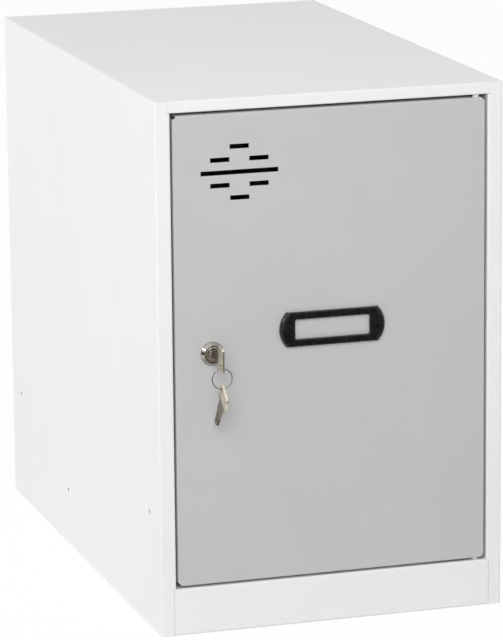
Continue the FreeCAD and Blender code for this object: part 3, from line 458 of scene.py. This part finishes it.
@dataclass(frozen=True)
class KeyMetal(Metal):
    """Plated key whose neck and blade are drawn darker towards the tip, as painted shade.

    Attributes:
        node: CAD node of the key.
        blade_tilt_deg: How far the blade points below level, to the back.
        painted_shade_tone: Colour of the painted shade along the neck and blade.
        painted_shade_mm: Length of the painted shade, from the tip.
        fade_mm: Length over which the painted shade fades into the plating.
    """

    node: str = "key"
    blade_tilt_deg: float = 0.0
    painted_shade_tone: str = "#8d877c"
    painted_shade_mm: float = 27.0
    fade_mm: float = 5.0

    def tones(self, tree: bpy.types.NodeTree, place: bpy.types.NodeSocket) -> bpy.types.NodeSocket:
        """Add the plating of the bow, and painted shade along the neck and blade.

        Args:
            tree: The material's node tree.
            place: Position on the piece, in metres.

        Returns:
            The colour.
        """
        tilt = math.radians(self.blade_tilt_deg)
        blade = Vector((0.0, math.cos(tilt), -math.sin(tilt)))
        tip = max(blade.dot(vertex.co) for vertex in frame["nodes"][self.node].data.vertices)
        along = add_node(
            tree, "ShaderNodeVectorMath", {"operation": "DOT_PRODUCT", 1: blade}, {0: place}
        )
        # the neck and blade fade to a darker tone towards the tip: painted shade
        blade_shading = add_node(
            tree,
            "ShaderNodeMapRange",
            {
                "From Min": tip - (self.painted_shade_mm + self.fade_mm) * MM,
                "From Max": tip - self.painted_shade_mm * MM,
            },
            {"Value": along.outputs["Value"]},
        )
        mixed = add_node(
            tree,
            "ShaderNodeMixRGB",
            {2: linear(self.painted_shade_tone)},
            {0: blade_shading.outputs["Result"], 1: super().tones(tree, place)},
        )
        return mixed.outputs["Color"]


@dataclass(frozen=True)
class Moulded(Finish):
    """Moulded polymer with the spark-eroded grain of its mould.

    Attributes:
        index: Refractive index.
        sheen_level: Specular level of the shader.
        grain_mm: Width of the mould's grain.
        grain_depth_um: Depth of the grain.
    """

    index: float = 1.53
    sheen_level: float = 0.5
    grain_mm: float = 0.7
    grain_depth_um: float = 14.0

    def constants(self) -> Settings:
        """A polymer with its index and surface gloss."""
        return {"Metallic": 0.0, "IOR": self.index, "Specular IOR Level": self.sheen_level}

    def relief(self, tree: bpy.types.NodeTree, place: bpy.types.NodeSocket) -> bpy.types.NodeSocket:
        """Add the pebbled grain of the mould.

        Args:
            tree: The material's node tree.
            place: Position on the piece, in metres.

        Returns:
            The bumped normal.
        """
        pebbles = add_node(
            tree,
            "ShaderNodeTexVoronoi",
            {"Scale": per_metre(self.grain_mm), "feature": "SMOOTH_F1"},
            {"Vector": place},
        )
        bump = add_node(
            tree,
            "ShaderNodeBump",
            {"Strength": 1.0, "Distance": self.grain_depth_um * MICRON},
            {"Height": pebbles.outputs["Distance"]},
        )
        return bump.outputs["Normal"]


FINISHES: dict[Slot, Finish] = {
    # an even, bright white film, with broad soft reflections that the sheet bends a little
    Slot.WHITE_POWDER_COAT: PowderCoat(
        "white polyester powder coat on sheet steel",
        colour="#eeeeee",
        shade="#ececec",
        drift_mm=90.0,
        gloss=(0.5, 0.58),
        smear_mm=30.0,
    ),
    # the same film in light grey
    Slot.GREY_POWDER_COAT: PowderCoat(
        "light grey polyester powder coat on sheet steel",
        colour="#c3c3c3",
        shade="#c0c0c0",
        drift_mm=90.0,
        gloss=(0.5, 0.58),
        smear_mm=30.0,
    ),
    # near-black moulding whose grain shows as a faint speckle, with the peaks just catching light:
    # the grain is drawn coarser than a real mould's, which would be too fine to show
    Slot.BLACK_PLASTIC: Moulded(
        "black ABS moulded in a grained tool",
        colour="#222222",
        shade="#000000",
        drift_mm=1.8,
        gloss=(0.2, 0.3),
        smear_mm=4.0,
        sheen_level=0.35,
        grain_mm=1.5,
        grain_depth_um=35.0,
    ),
    # bright chrome over a polished casting: nearly a mirror, a little warm
    Slot.LOCK_CHROME: Metal(
        "chrome plated zinc casting",
        colour="#b9b7b3",
        shade="#a5a098",
        drift_mm=5.0,
        gloss=(0.1, 0.17),
        smear_mm=3.0,
    ),
    # stamped brass under thin nickel: warm, with the tumbling marks of a mass-made key, and painted
    # shade along its neck and blade
    Slot.KEY_NICKEL: KeyMetal(
        "tumbled nickel plate on stamped brass",
        colour="#ece6d4",
        shade="#d8d1bd",
        drift_mm=4.0,
        gloss=(0.28, 0.4),
        smear_mm=2.5,
        grain_mm=(0.5, 2.5, 0.5),
        grain_depth_um=3.0,
    ),
    # plain rolled brass strip, blanked and left bare: warm yellow with a short upright grain
    Slot.WAFER_BRASS: Metal(
        "blanked brass strip",
        colour="#c8a862",
        shade="#ab8b48",
        drift_mm=3.0,
        gloss=(0.25, 0.38),
        smear_mm=2.0,
        grain_mm=(0.4, 0.4, 1.6),
        grain_depth_um=4.0,
    ),
    # pale blue-grey passivated zinc: satin, cloudy, with a crystalline fleck
    Slot.ZINC_PLATED_STEEL: Metal(
        "zinc plated steel",
        colour="#aeb2b6",
        shade="#8e9194",
        drift_mm=4.0,
        gloss=(0.24, 0.38),
        smear_mm=2.0,
        grain_mm=(0.7, 0.7, 0.7),
        grain_depth_um=5.0,
    ),
    # off-white nylon, waxy rather than glossy
    Slot.WHITE_NYLON: Moulded(
        "moulded natural nylon",
        colour="#efeee8",
        shade="#e7e6df",
        drift_mm=6.0,
        gloss=(0.42, 0.52),
        smear_mm=4.0,
    ),
    # matt black rubber with a dusty bloom
    Slot.BUFFER_RUBBER: Moulded(
        "moulded black rubber",
        colour="#222222",
        shade="#2b2b2b",
        drift_mm=3.0,
        gloss=(0.7, 0.85),
        smear_mm=3.0,
    ),
}

# the plug's face keeps the coarse cut of the lathe under its chrome: rings of light and dark; its
# chrome is drawn paler than the housing's, painted light that lifts its dark reflections
TURNED_PLUG = TurnedMetal(
    "chrome plate on a lathe-faced plug",
    colour="#e6e2da",
    shade="#cfc9bf",
    drift_mm=5.0,
    gloss=(0.12, 0.2),
    smear_mm=3.0,
)

NODE_FINISHES: dict[str, Finish] = {
    "lock_plug": TURNED_PLUG,
    "plug_face_rings": TURNED_PLUG,
    # the same nickel on the key that hangs from the ring, with its blade turned down, which the
    # painted shade follows
    "spare_key": replace(
        FINISHES[Slot.KEY_NICKEL],
        name="tumbled nickel plate on the hanging key",
        node="spare_key",
        blade_tilt_deg=52.0,
    ),
    # the same black plastic where fingers have rubbed its grain smooth: a thin streak of light
    "label_end_lips": replace(
        FINISHES[Slot.BLACK_PLASTIC],
        name="black ABS rubbed smooth",
        gloss=(0.14, 0.22),
        sheen_level=0.6,
        grain_depth_um=12.0,
    ),
}


class Palette:
    """The materials, each built once."""

    def __init__(self) -> None:
        """Build every finish."""
        finishes = dict.fromkeys([*FINISHES.values(), *NODE_FINISHES.values()])
        built = {finish: finish.material() for finish in finishes}
        self.of_slot = {slot: built[finish] for slot, finish in FINISHES.items()}
        self.of_node = {name: built[finish] for name, finish in NODE_FINISHES.items()}

    def dress(self, piece: bpy.types.Object, slot: Slot) -> None:
        """Give a piece its own finish if it has one, and otherwise that of its slot.

        Args:
            piece: Object with mesh data.
            slot: Slot of the record.
        """
        piece.data.materials.clear()
        piece.data.materials.append(self.of_node.get(piece.name, self.of_slot[slot]))

    def dress_nodes(self, names: Iterable[str]) -> None:
        """Give CAD nodes the materials that the record names for them.

        Args:
            names: Names of the nodes.
        """
        slots = {row["node"]: row["material_slot"] for row in frame["record"]["subparts"]}
        for name in names:
            self.dress(frame["nodes"][name], Slot(slots[name]))
            LOG.info("dressed %s as %s", name, slots[name])

    def add_piece(self, mesh: bmesh.types.BMesh, name: str, slot: Slot, body: Body) -> None:
        """Turn a mesh into a dressed piece that rides on a body.

        Args:
            mesh: Closed mesh in the frame, freed here.
            name: Name of the piece.
            slot: Slot that gives its finish.
            body: Body that it moves with.
        """
        bmesh.ops.recalc_face_normals(mesh, faces=mesh.faces)
        data = bpy.data.meshes.new(name)
        mesh.to_mesh(data)
        mesh.free()
        data.shade_smooth()
        data.set_sharp_from_angle(angle=math.radians(SHARP_EDGE_DEG))
        piece = bpy.data.objects.new(name, data)
        bpy.context.scene.collection.objects.link(piece)
        self.dress(piece, slot)
        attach(piece, body.value)
        LOG.info("added %s on %s", name, body.value)


@dataclass(frozen=True)
class SpotWelds:
    """Rims that the electrodes press up round spot welds, under the paint.

    Attributes:
        rim_mm: Radius and height of the rim's section.
        steps: Corners of a turn.
    """

    rim_mm: Outline = ((2.1, -0.05), (2.4, 0.13), (2.8, 0.18), (3.4, -0.05))
    steps: int = 16

    def mesh(self, places: Iterable[Vector]) -> bmesh.types.BMesh:
        """Build the rims of welds on faces that look to the back.

        Args:
            places: Middles of the welds.

        Returns:
            One mesh with all the rims.
        """
        mesh = bmesh.new()
        for place in places:
            sections = [section_at(place, self.rim_mm, turn) for turn in whole_turn(self.steps)]
            sweep(mesh, sections, closed=True)
        return mesh


@dataclass
class Cabinet:
    """Folded and spot-welded case of the locker.

    Attributes:
        palette: Materials.
        welds: Rims of the welds at the back.
        flange_mm: Width of the side panels' rear flanges.
        weld_pitch_mm: Welds from each other.
        column_welds: Welds down each rear flange.
        row_welds: Welds in each row across the back panel.
        weld_rows_mm: Heights of those rows.
        panels: CAD nodes of the sheet panels.
        hardware: CAD nodes fixed to the panels.
    """

    palette: Palette
    welds: SpotWelds = SpotWelds()
    flange_mm: float = 15.0
    weld_pitch_mm: float = 55.0
    column_welds: int = 7
    row_welds: int = 5
    weld_rows_mm: tuple[float, float] = (20.0, 444.0)
    panels: tuple[str, ...] = (
        "left_side_panel",
        "right_side_panel",
        "top_panel",
        "base_panel",
        "back_panel",
    )
    hardware: tuple[str, ...] = ("upper_hinge_pin", "lower_hinge_pin", "door_buffers")

    def build(self) -> None:
        """Dress the panels and what is fixed to them, and add the welds at the back."""
        self.palette.dress_nodes(self.panels + self.hardware)
        welds = self.welds.mesh(self.weld_places())
        self.palette.add_piece(welds, "cabinet_spot_welds", Slot.WHITE_POWDER_COAT, Body.CABINET)

    def weld_places(self) -> list[Vector]:
        """Place welds down both rear flanges, and along the back panel's top and foot.

        Returns:
            Middles of the welds.
        """
        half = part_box("right_side_panel")[1][0]
        flange_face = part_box("right_side_panel")[1][1]
        panel_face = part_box("back_panel")[1][1]
        column = half - self.flange_mm / 2 * MM
        pitch = self.weld_pitch_mm * MM
        middle = sum(self.weld_rows_mm) / 2 * MM
        places = []
        for side in (-column, column):
            rows = even_row(self.column_welds, pitch)
            places += [Vector((side, flange_face, middle + row)) for row in rows]
        for height in self.weld_rows_mm:
            across = even_row(self.row_welds, pitch)
            places += [Vector((place, panel_face, height * MM)) for place in across]
        return places


@dataclass(frozen=True)
class PushNut:
    """Spring-steel nut pressed over a moulded peg, which it grips with bent teeth.

    Attributes:
        rim_mm: Radius and height of the rim's section.
        tooth_mm: Radius and height of a tooth's section, from the rim to its tip.
        teeth: Number of teeth.
        tooth_turn_deg: Width of a tooth, as a turn about the peg.
        tooth_steps: Sections of a tooth.
        steps: Corners of a turn.
    """

    rim_mm: Outline = ((3.3, 0.0), (4.8, 0.0), (5.0, 0.2), (4.8, 0.35), (3.3, 0.35))
    tooth_mm: Outline = ((3.4, 0.0), (3.4, 0.35), (2.25, 1.25), (2.25, 0.9))
    teeth: int = 6
    tooth_turn_deg: float = 44.0
    tooth_steps: int = 5
    steps: int = 32

    def add_to(self, mesh: bmesh.types.BMesh, place: Vector) -> None:
        """Add a nut against a face that looks to the back.

        Args:
            mesh: Mesh that gets the nut.
            place: Middle of the peg, on that face.
        """
        rim = [section_at(place, self.rim_mm, turn) for turn in whole_turn(self.steps)]
        sweep(mesh, rim, closed=True)
        spread = math.radians(self.tooth_turn_deg) / (self.tooth_steps - 1)
        for middle in whole_turn(self.teeth):
            turns = [middle + share for share in even_row(self.tooth_steps, spread)]
            tooth = [section_at(place, self.tooth_mm, turn) for turn in turns]
            sweep(mesh, tooth, closed=False)


@dataclass(frozen=True)
class EndLip:
    """Raised lip along a rounded end of the label holder, a little proud of its upper corner.

    Attributes:
        bulge_mm: How far the rounded end stands out from the straight edges.
        section_mm: Place outside the end's arc, and height above the door, of the lip's section.
        turn_deg: Where the lip starts and ends, from level.
        draw_in: Turn past each end, and how many mm lower and narrower the section is there.
        steps: Sections of the lip.
    """

    bulge_mm: float = 5.9
    section_mm: Outline = (
        (0.2, 0.1),
        (0.2, 2.2),
        (-1.0, 3.8),
        (-1.3, 4.0),
        (-3.8, 3.1),
        (-3.8, 0.1),
    )
    turn_deg: tuple[float, float] = (-42.5, 45.0)
    draw_in: Outline = ((0.9, 0.2), (1.6, 0.7))
    steps: int = 24

    def add_to(self, mesh: bmesh.types.BMesh, face: float, side: int) -> None:
        """Add the lip of one end.

        Args:
            mesh: Mesh that gets the lip.
            face: The door's face along Y.
            side: 1 for the right end, -1 for the left.
        """
        low, high = (Vector(corner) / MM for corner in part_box("label_holder"))
        half_height = (high.z - low.z) / 2
        radius = (half_height**2 + self.bulge_mm**2) / (2 * self.bulge_mm)
        middle = Vector((side * (high.x - radius) * MM, face, (low.z + half_height) * MM))
        start, end = self.turn_deg
        turns = [start + (end - start) * step / self.steps for step in range(self.steps + 1)]
        stations = [(start - past, inward) for past, inward in reversed(self.draw_in)]
        stations += [(turn, 0.0) for turn in turns]
        stations += [(end + past, inward) for past, inward in self.draw_in]
        sections = []
        for turn, inward in stations:
            angle = math.radians(turn if side > 0 else 180.0 - turn)
            section = []
            for outside, height in self.section_mm:
                lowered = max(height - inward, 0.0) * MM
                section.append(polar(middle, (radius + outside - inward) * MM, angle, -lowered))
            sections.append(section)
        sweep(mesh, sections, closed=False)


@dataclass
class Door:
    """Folded pan door with its stiffener, bushes and label holder.

    Attributes:
        palette: Materials.
        welds: Rims of the welds on the stiffener.
        push_nut: Nut on each peg of the label holder.
        end_lip: Lip at each end of the label holder.
        sheet_mm: Thickness of the door's skin and of the stiffener.
        flange_mm: Width of the stiffener's flanges.
        weld_pitch_mm: Welds from each other.
        column_welds: Welds down each flange.
        peg_mm: Each peg from the middle of the label holder.
        nodes: CAD nodes of the door.
    """

    palette: Palette
    welds: SpotWelds = SpotWelds()
    push_nut: PushNut = PushNut()
    end_lip: EndLip = EndLip()
    sheet_mm: float = 0.8
    flange_mm: float = 12.0
    weld_pitch_mm: float = 48.0
    column_welds: int = 7
    peg_mm: float = 38.5
    nodes: tuple[str, ...] = (
        "door_panel",
        "door_stiffener",
        "upper_hinge_bush",
        "lower_hinge_bush",
        "label_holder",
    )

    def build(self) -> None:
        """Dress the door's pieces, and add its welds, push nuts and label lips."""
        self.palette.dress_nodes(self.nodes)
        welds = self.welds.mesh(self.weld_places())
        self.palette.add_piece(welds, "stiffener_spot_welds", Slot.GREY_POWDER_COAT, Body.DOOR)
        nuts = self.push_nuts()
        self.palette.add_piece(nuts, "label_push_nuts", Slot.ZINC_PLATED_STEEL, Body.DOOR)
        lips = self.end_lips()
        self.palette.add_piece(lips, "label_end_lips", Slot.BLACK_PLASTIC, Body.DOOR)

    def end_lips(self) -> bmesh.types.BMesh:
        """Build the lips at both ends of the label holder, on the door's face.

        Returns:
            One mesh with both lips.
        """
        mesh = bmesh.new()
        for side in (-1, 1):
            self.end_lip.add_to(mesh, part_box("door_panel")[0][1], side)
        return mesh

    def weld_places(self) -> list[Vector]:
        """Place welds down both flanges of the stiffener.

        Returns:
            Middles of the welds.
        """
        low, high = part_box("door_stiffener")
        face = low[1] + self.sheet_mm * MM
        column = high[0] - self.flange_mm / 2 * MM
        middle = (low[2] + high[2]) / 2
        rows = even_row(self.column_welds, self.weld_pitch_mm * MM)
        sides = (-column, column)
        return [Vector((side, face, middle + row)) for side in sides for row in rows]

    def push_nuts(self) -> bmesh.types.BMesh:
        """Build the nuts on the label holder's pegs, behind the skin.

        Returns:
            One mesh with both nuts.
        """
        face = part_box("door_panel")[0][1] + self.sheet_mm * MM
        low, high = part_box("label_holder")
        mesh = bmesh.new()
        for side in (-self.peg_mm, self.peg_mm):
            self.push_nut.add_to(mesh, Vector((side * MM, face, (low[2] + high[2]) / 2)))
        return mesh


@dataclass
class CamLock:
    """Quarter-turn lock with its plug, wafers, stop washer and cam.

    Attributes:
        palette: Materials.
        ridge_mm: Radius and place along the axis of the thread's section.
        pitch_mm: Turns of the thread from each other.
        flat_mm: Each flat of the barrel from the axis.
        run_out_mm: Bare barrel at each end of the thread.
        arc_steps: Sections of the thread from flat to flat.
        face_rings_mm: Radius of each ring on the plug, and how far behind its front it lies.
        ring_mm: Section of a ring, as places across and above it.
        keyway_mm: Half the keyway's width, with a margin.
        keyway_reach_mm: Rings smaller than this are open at the keyway.
        ring_steps: Corners of a ring.
        nodes: CAD nodes of the lock.
    """

    palette: Palette
    ridge_mm: Outline = ((8.95, -0.65), (9.3, -0.15), (9.3, 0.15), (8.95, 0.65))
    pitch_mm: float = 1.5
    flat_mm: float = 8.0
    run_out_mm: float = 1.2
    arc_steps: int = 20
    face_rings_mm: Outline = ((2.0, 0.9), (3.0, 0.9), (4.02, 0.9), (4.95, 0.5), (5.9, 0.0))
    ring_mm: Outline = ((-0.36, -0.03), (-0.07, 0.19), (0.07, 0.19), (0.36, -0.03))
    keyway_mm: float = 1.35
    keyway_reach_mm: float = 3.9
    ring_steps: int = 40
    nodes: tuple[str, ...] = (
        "lock_housing",
        "lock_washer",
        "lock_nut",
        "lock_plug",
        "wafer_tumblers",
        "stop_washer",
        "lock_cam",
        "cam_screw",
    )

    def build(self) -> None:
        """Dress the lock, cut its thread and turn the rings of its plug."""
        self.palette.dress_nodes(self.nodes)
        self.palette.add_piece(self.thread(), "lock_barrel_thread", Slot.LOCK_CHROME, Body.DOOR)
        self.palette.add_piece(self.face_rings(), "plug_face_rings", Slot.LOCK_CHROME, Body.PLUG)

    def face_rings(self) -> bmesh.types.BMesh:
        """Build the rings of the lathe on the plug's stepped face.

        They are fewer and higher than real ones, which would be too fine to show.

        Returns:
            One mesh with all the rings.
        """
        low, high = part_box("lock_plug")
        front = Vector(((low[0] + high[0]) / 2, low[1], (low[2] + high[2]) / 2))
        mesh = bmesh.new()
        for radius, depth in self.face_rings_mm:
            middle = front + Vector((0.0, depth * MM, 0.0))
            if radius > self.keyway_reach_mm:
                turns = whole_turn(self.ring_steps)
                ring = [self.ring_section(middle, radius, turn) for turn in turns]
                sweep(mesh, ring, closed=True)
                continue
            reach = math.pi / 2 - math.asin(self.keyway_mm / radius)
            for side in (0.0, math.pi):
                shares = even_row(self.ring_steps + 1, 2 * reach / self.ring_steps)
                arc = [self.ring_section(middle, radius, side + share) for share in shares]
                sweep(mesh, arc, closed=False)
        return mesh

    def ring_section(self, middle: Vector, radius: float, turn: float) -> list[Vector]:
        """Corners of a ring's section at one turn about the axis, raised to the front."""
        return [polar(middle, (radius + a) * MM, turn, -h * MM) for a, h in self.ring_mm]

    def thread(self) -> bmesh.types.BMesh:
        """Build the thread on the barrel behind its nut, broken by the two flats.

        Returns:
            One mesh with all the ridges.
        """
        low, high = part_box("lock_housing")
        axis = Vector(((low[0] + high[0]) / 2, 0.0, (low[2] + high[2]) / 2))
        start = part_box("lock_nut")[1][1] + self.run_out_mm * MM
        length = high[1] - self.run_out_mm * MM - start
        mesh = bmesh.new()
        for turn in range(int(length / (self.pitch_mm * MM))):
            for half in (0.0, math.pi):
                self.add_arc(mesh, axis, start + turn * self.pitch_mm * MM, half)
        return mesh

    def add_arc(self, mesh: bmesh.types.BMesh, axis: Vector, start: float, half: float) -> None:
        """Add the thread's ridge over one rounded side of the barrel.

        Args:
            mesh: Mesh that gets the ridge.
            axis: Point on the lock's axis at Y = 0.
            start: Where this turn of the thread starts along Y.
            half: Turn of the rounded side, 0 above and pi below.
        """
        sections = []
        for step in range(self.arc_steps + 1):
            section = []
            for radius, offset in self.ridge_mm:
                margin = math.acos(self.flat_mm / radius)
                angle = half + margin + (math.pi - 2 * margin) * step / self.arc_steps
                height = start + (self.pitch_mm * angle / math.tau + offset) * MM
                section.append(polar(axis, radius * MM, angle, height))
            sections.append(section)
        sweep(mesh, sections, closed=False)


@dataclass
class KeySet:
    """Two keys on a wire ring.

    Attributes:
        palette: Materials.
        nodes: CAD nodes of the keys and the ring.
    """

    palette: Palette
    nodes: tuple[str, ...] = ("key", "key_ring", "spare_key")

    def build(self) -> None:
        """Dress the keys and the ring."""
        self.palette.dress_nodes(self.nodes)


@dataclass(frozen=True)
class Softbox:
    """A square lamp aimed at the locker.

    Attributes:
        name: Name of the lamp.
        place: Middle of the lamp.
        width: Side of the square.
        level: Light on a surface square to the lamp, where 1 shows a colour as it is written.
    """

    name: str
    place: tuple[float, float, float]
    width: float
    level: float


@dataclass(frozen=True)
class Card:
    """A card beside the set that glows with a fixed dark tone and that only reflections see: a
    painted reflection, so that bright metal has contrast.

    Attributes:
        name: Name of the card.
        middle: Middle of the card.
        across: Half its width, as a vector.
        along: Half its height, as a vector.
        tone: The sRGB hex colour that it glows with, a painted reflection.
    """

    name: str
    middle: tuple[float, float, float]
    across: tuple[float, float, float]
    along: tuple[float, float, float]
    tone: str


@dataclass
class Studio:
    """Pale floor, soft light and the camera of a plain product photograph.

    Attributes:
        floor_half: Half the side of the square floor.
        paper_tone: Colour of the floor where it takes the shadow.
        paper_glow: Share of plain white in what shows of the floor.
        bounce_tone: Colour of the light that the floor throws back.
        sky_level: Light of the surround.
        aim: Point that the lamps look at.
        lamps: Softboxes.
        cards: Glowing cards that only reflections see: painted reflections.
        camera_place: Where the camera stands.
        camera_yaw_deg: Turn of its view from +Y toward +X.
        camera_pitch_deg: How far it looks down.
        camera_roll_deg: Turn about its view.
        camera_reach: How far it sees.
        focal_px: Focal length in pixels of the picture.
    """

    floor_half: float = 20.0
    paper_tone: str = "#fafafa"
    paper_glow: float = 0.94
    bounce_tone: str = "#dcdcdc"
    sky_level: float = 0.54
    aim: tuple[float, float, float] = (0.0, -0.1, 0.24)
    lamps: tuple[Softbox, ...] = (
        Softbox("key_softbox", place=(-0.8, -2.35, 1.6), width=1.5, level=0.5),
        Softbox("left_softbox", place=(-3.4, 2.2, 1.4), width=2.0, level=0.3),
        Softbox("strip_softbox", place=(-2.35, -0.5, 1.35), width=0.3, level=0.05),
    )
    cards: tuple[Card, ...] = (
        Card(
            "front_card",
            middle=(0.5, -0.75, 0.28),
            across=(0.95, 0.0, 0.0),
            along=(0.0, 0.0, 0.28),
            tone="#625f59",
        ),
        Card(
            "left_card",
            middle=(-1.1, -0.25, 0.21),
            across=(0.0, 0.4, 0.0),
            along=(0.0, 0.0, 0.2),
            tone="#75716c",
        ),
        Card(
            "table_card",
            middle=(-0.1, -0.53, 0.004),
            across=(1.0, 0.0, 0.0),
            along=(0.0, 0.21, 0.0),
            tone="#a79f92",
        ),
    )
    camera_place: tuple[float, float, float] = (-1.0181, -3.2988, 0.9905)
    camera_yaw_deg: float = 17.28
    camera_pitch_deg: float = 12.814
    camera_roll_deg: float = -0.55
    camera_reach: float = 100.0
    focal_px: float = 3986.0

    def build(self) -> None:
        """Set up the floor, the light and the camera."""
        bpy.context.scene.view_settings.view_transform = "Standard"
        self.build_floor()
        self.build_world()
        for lamp in self.lamps:
            self.build_lamp(lamp)
        for card in self.cards:
            self.build_card(card)
        self.build_camera()

    def seen_directly(self, tree: bpy.types.NodeTree) -> bpy.types.NodeSocket:
        """Add the test for rays that show the background: straight, mirrored or refracted.

        Args:
            tree: Node tree of the floor or the world.

        Returns:
            A socket that is 1 for such rays and 0 for others.
        """
        path = add_node(tree, "ShaderNodeLightPath")
        mirrored = add_node(
            tree,
            "ShaderNodeMath",
            {"operation": "MAXIMUM"},
            {0: path.outputs["Is Camera Ray"], 1: path.outputs["Is Glossy Ray"]},
        )
        seen = add_node(
            tree,
            "ShaderNodeMath",
            {"operation": "MAXIMUM"},
            {0: mirrored.outputs["Value"], 1: path.outputs["Is Transmission Ray"]},
        )
        return seen.outputs["Value"]

    def flat_sheet(
        self, name: str, middle: Vector, across: Vector, along: Vector
    ) -> bpy.types.Object:
        """Add a flat sheet that belongs to the set and not to the locker.

        Args:
            name: Name of the sheet.
            middle: Its middle.
            across: Half its width, as a vector.
            along: Half its height, as a vector.

        Returns:
            The new object.
        """
        corners = [
            middle - across - along,
            middle + across - along,
            middle + across + along,
            middle - across + along,
        ]
        data = bpy.data.meshes.new(name)
        data.from_pydata([tuple(corner) for corner in corners], [], [(0, 1, 2, 3)])
        sheet = bpy.data.objects.new(name, data)
        bpy.context.scene.collection.objects.link(sheet)
        return sheet

    def build_floor(self) -> None:
        """White floor that shows as white paper and still takes a faint shadow."""
        half = self.floor_half
        across = Vector((half, 0.0, 0.0))
        along = Vector((0.0, half, 0.0))
        floor = self.flat_sheet("floor", Vector(), across, along)
        material = bare_material("seamless white paper")
        tree = material.node_tree
        paper = add_node(tree, "ShaderNodeBsdfDiffuse", {"Color": linear(self.paper_tone)})
        glow = add_node(tree, "ShaderNodeEmission", {"Color": WHITE, "Strength": 1.0})
        shown = add_node(
            tree,
            "ShaderNodeMixShader",
            {0: self.paper_glow},
            {1: paper.outputs["BSDF"], 2: glow.outputs["Emission"]},
        )
        bounce = add_node(tree, "ShaderNodeBsdfDiffuse", {"Color": linear(self.bounce_tone)})
        mixed = add_node(
            tree,
            "ShaderNodeMixShader",
            links={
                0: self.seen_directly(tree),
                1: bounce.outputs["BSDF"],
                2: shown.outputs["Shader"],
            },
        )
        add_node(tree, "ShaderNodeOutputMaterial", links={"Surface": mixed.outputs["Shader"]})
        floor.data.materials.append(material)

    def build_world(self) -> None:
        """Even pale surround that shows as white."""
        world = bpy.data.worlds.new("studio")
        world.use_nodes = True
        bpy.context.scene.world = world
        tree = world.node_tree
        tree.nodes.clear()
        surround = add_node(
            tree, "ShaderNodeBackground", {"Color": WHITE, "Strength": self.sky_level}
        )
        backdrop = add_node(tree, "ShaderNodeBackground", {"Color": WHITE, "Strength": 1.0})
        mixed = add_node(
            tree,
            "ShaderNodeMixShader",
            links={
                0: self.seen_directly(tree),
                1: surround.outputs["Background"],
                2: backdrop.outputs["Background"],
            },
        )
        add_node(tree, "ShaderNodeOutputWorld", links={"Surface": mixed.outputs["Shader"]})

    def build_lamp(self, lamp: Softbox) -> None:
        """Add a softbox aimed at the locker.

        Args:
            lamp: Its place, size and level.
        """
        offset = Vector(lamp.place) - Vector(self.aim)
        data = bpy.data.lights.new(lamp.name, "AREA")
        data.shape = "SQUARE"
        data.size = lamp.width
        # a lamp's watts over pi d**2 fall on a surface square to it, which shows 1 / pi of that
        data.energy = lamp.level * math.pi**2 * offset.length_squared
        light = bpy.data.objects.new(lamp.name, data)
        light.location = lamp.place
        light.rotation_euler = offset.to_track_quat("Z", "Y").to_euler()
        light.visible_camera = False
        bpy.context.scene.collection.objects.link(light)

    def build_card(self, card: Card) -> None:
        """Add a glowing card that only reflections see, as a painted reflection.

        Args:
            card: Its place, size and tone.
        """
        middle, across, along = Vector(card.middle), Vector(card.across), Vector(card.along)
        sheet = self.flat_sheet(card.name, middle, across, along)
        sheet.visible_camera = False
        sheet.visible_diffuse = False
        sheet.visible_transmission = False
        sheet.visible_shadow = False
        material = bare_material(f"{card.name} cloth")
        tree = material.node_tree
        # the card glows with its tone instead of being lit: a painted reflection
        painted_reflection = add_node(tree, "ShaderNodeEmission", {"Color": linear(card.tone), "Strength": 1.0})
        add_node(tree, "ShaderNodeOutputMaterial", links={"Surface": painted_reflection.outputs["Emission"]})
        sheet.data.materials.append(material)

    def build_camera(self) -> None:
        """Place the camera where the photograph was taken from."""
        yaw = math.radians(self.camera_yaw_deg)
        pitch = math.radians(self.camera_pitch_deg)
        roll = math.radians(self.camera_roll_deg)
        forward = Vector(
            (math.sin(yaw) * math.cos(pitch), math.cos(yaw) * math.cos(pitch), -math.sin(pitch))
        )
        level = Vector((math.cos(yaw), -math.sin(yaw), 0.0))
        upright = level.cross(forward)
        right = math.cos(roll) * level + math.sin(roll) * upright
        above = math.cos(roll) * upright - math.sin(roll) * level
        data = bpy.data.cameras.new("camera")
        data.sensor_width = SENSOR_MM
        # the sensor's width is fitted to the picture's longer side, its height
        data.lens = self.focal_px / PICTURE_HEIGHT_PX * SENSOR_MM
        data.clip_end = self.camera_reach
        camera = bpy.data.objects.new("camera", data)
        turn = Matrix((right, above, -forward)).transposed()
        camera.matrix_world = Matrix.Translation(Vector(self.camera_place)) @ turn.to_4x4()
        bpy.context.scene.collection.objects.link(camera)
        bpy.context.scene.camera = camera


def main() -> None:
    """Build the set and dress the locker, one sub-assembly after another."""
    logging.basicConfig(level=logging.INFO, format="%(message)s")
    palette = Palette()
    for assembly in (Cabinet(palette), Door(palette), CamLock(palette), KeySet(palette)):
        assembly.build()
    Studio().build()


if __name__ == "__main__":
    main()
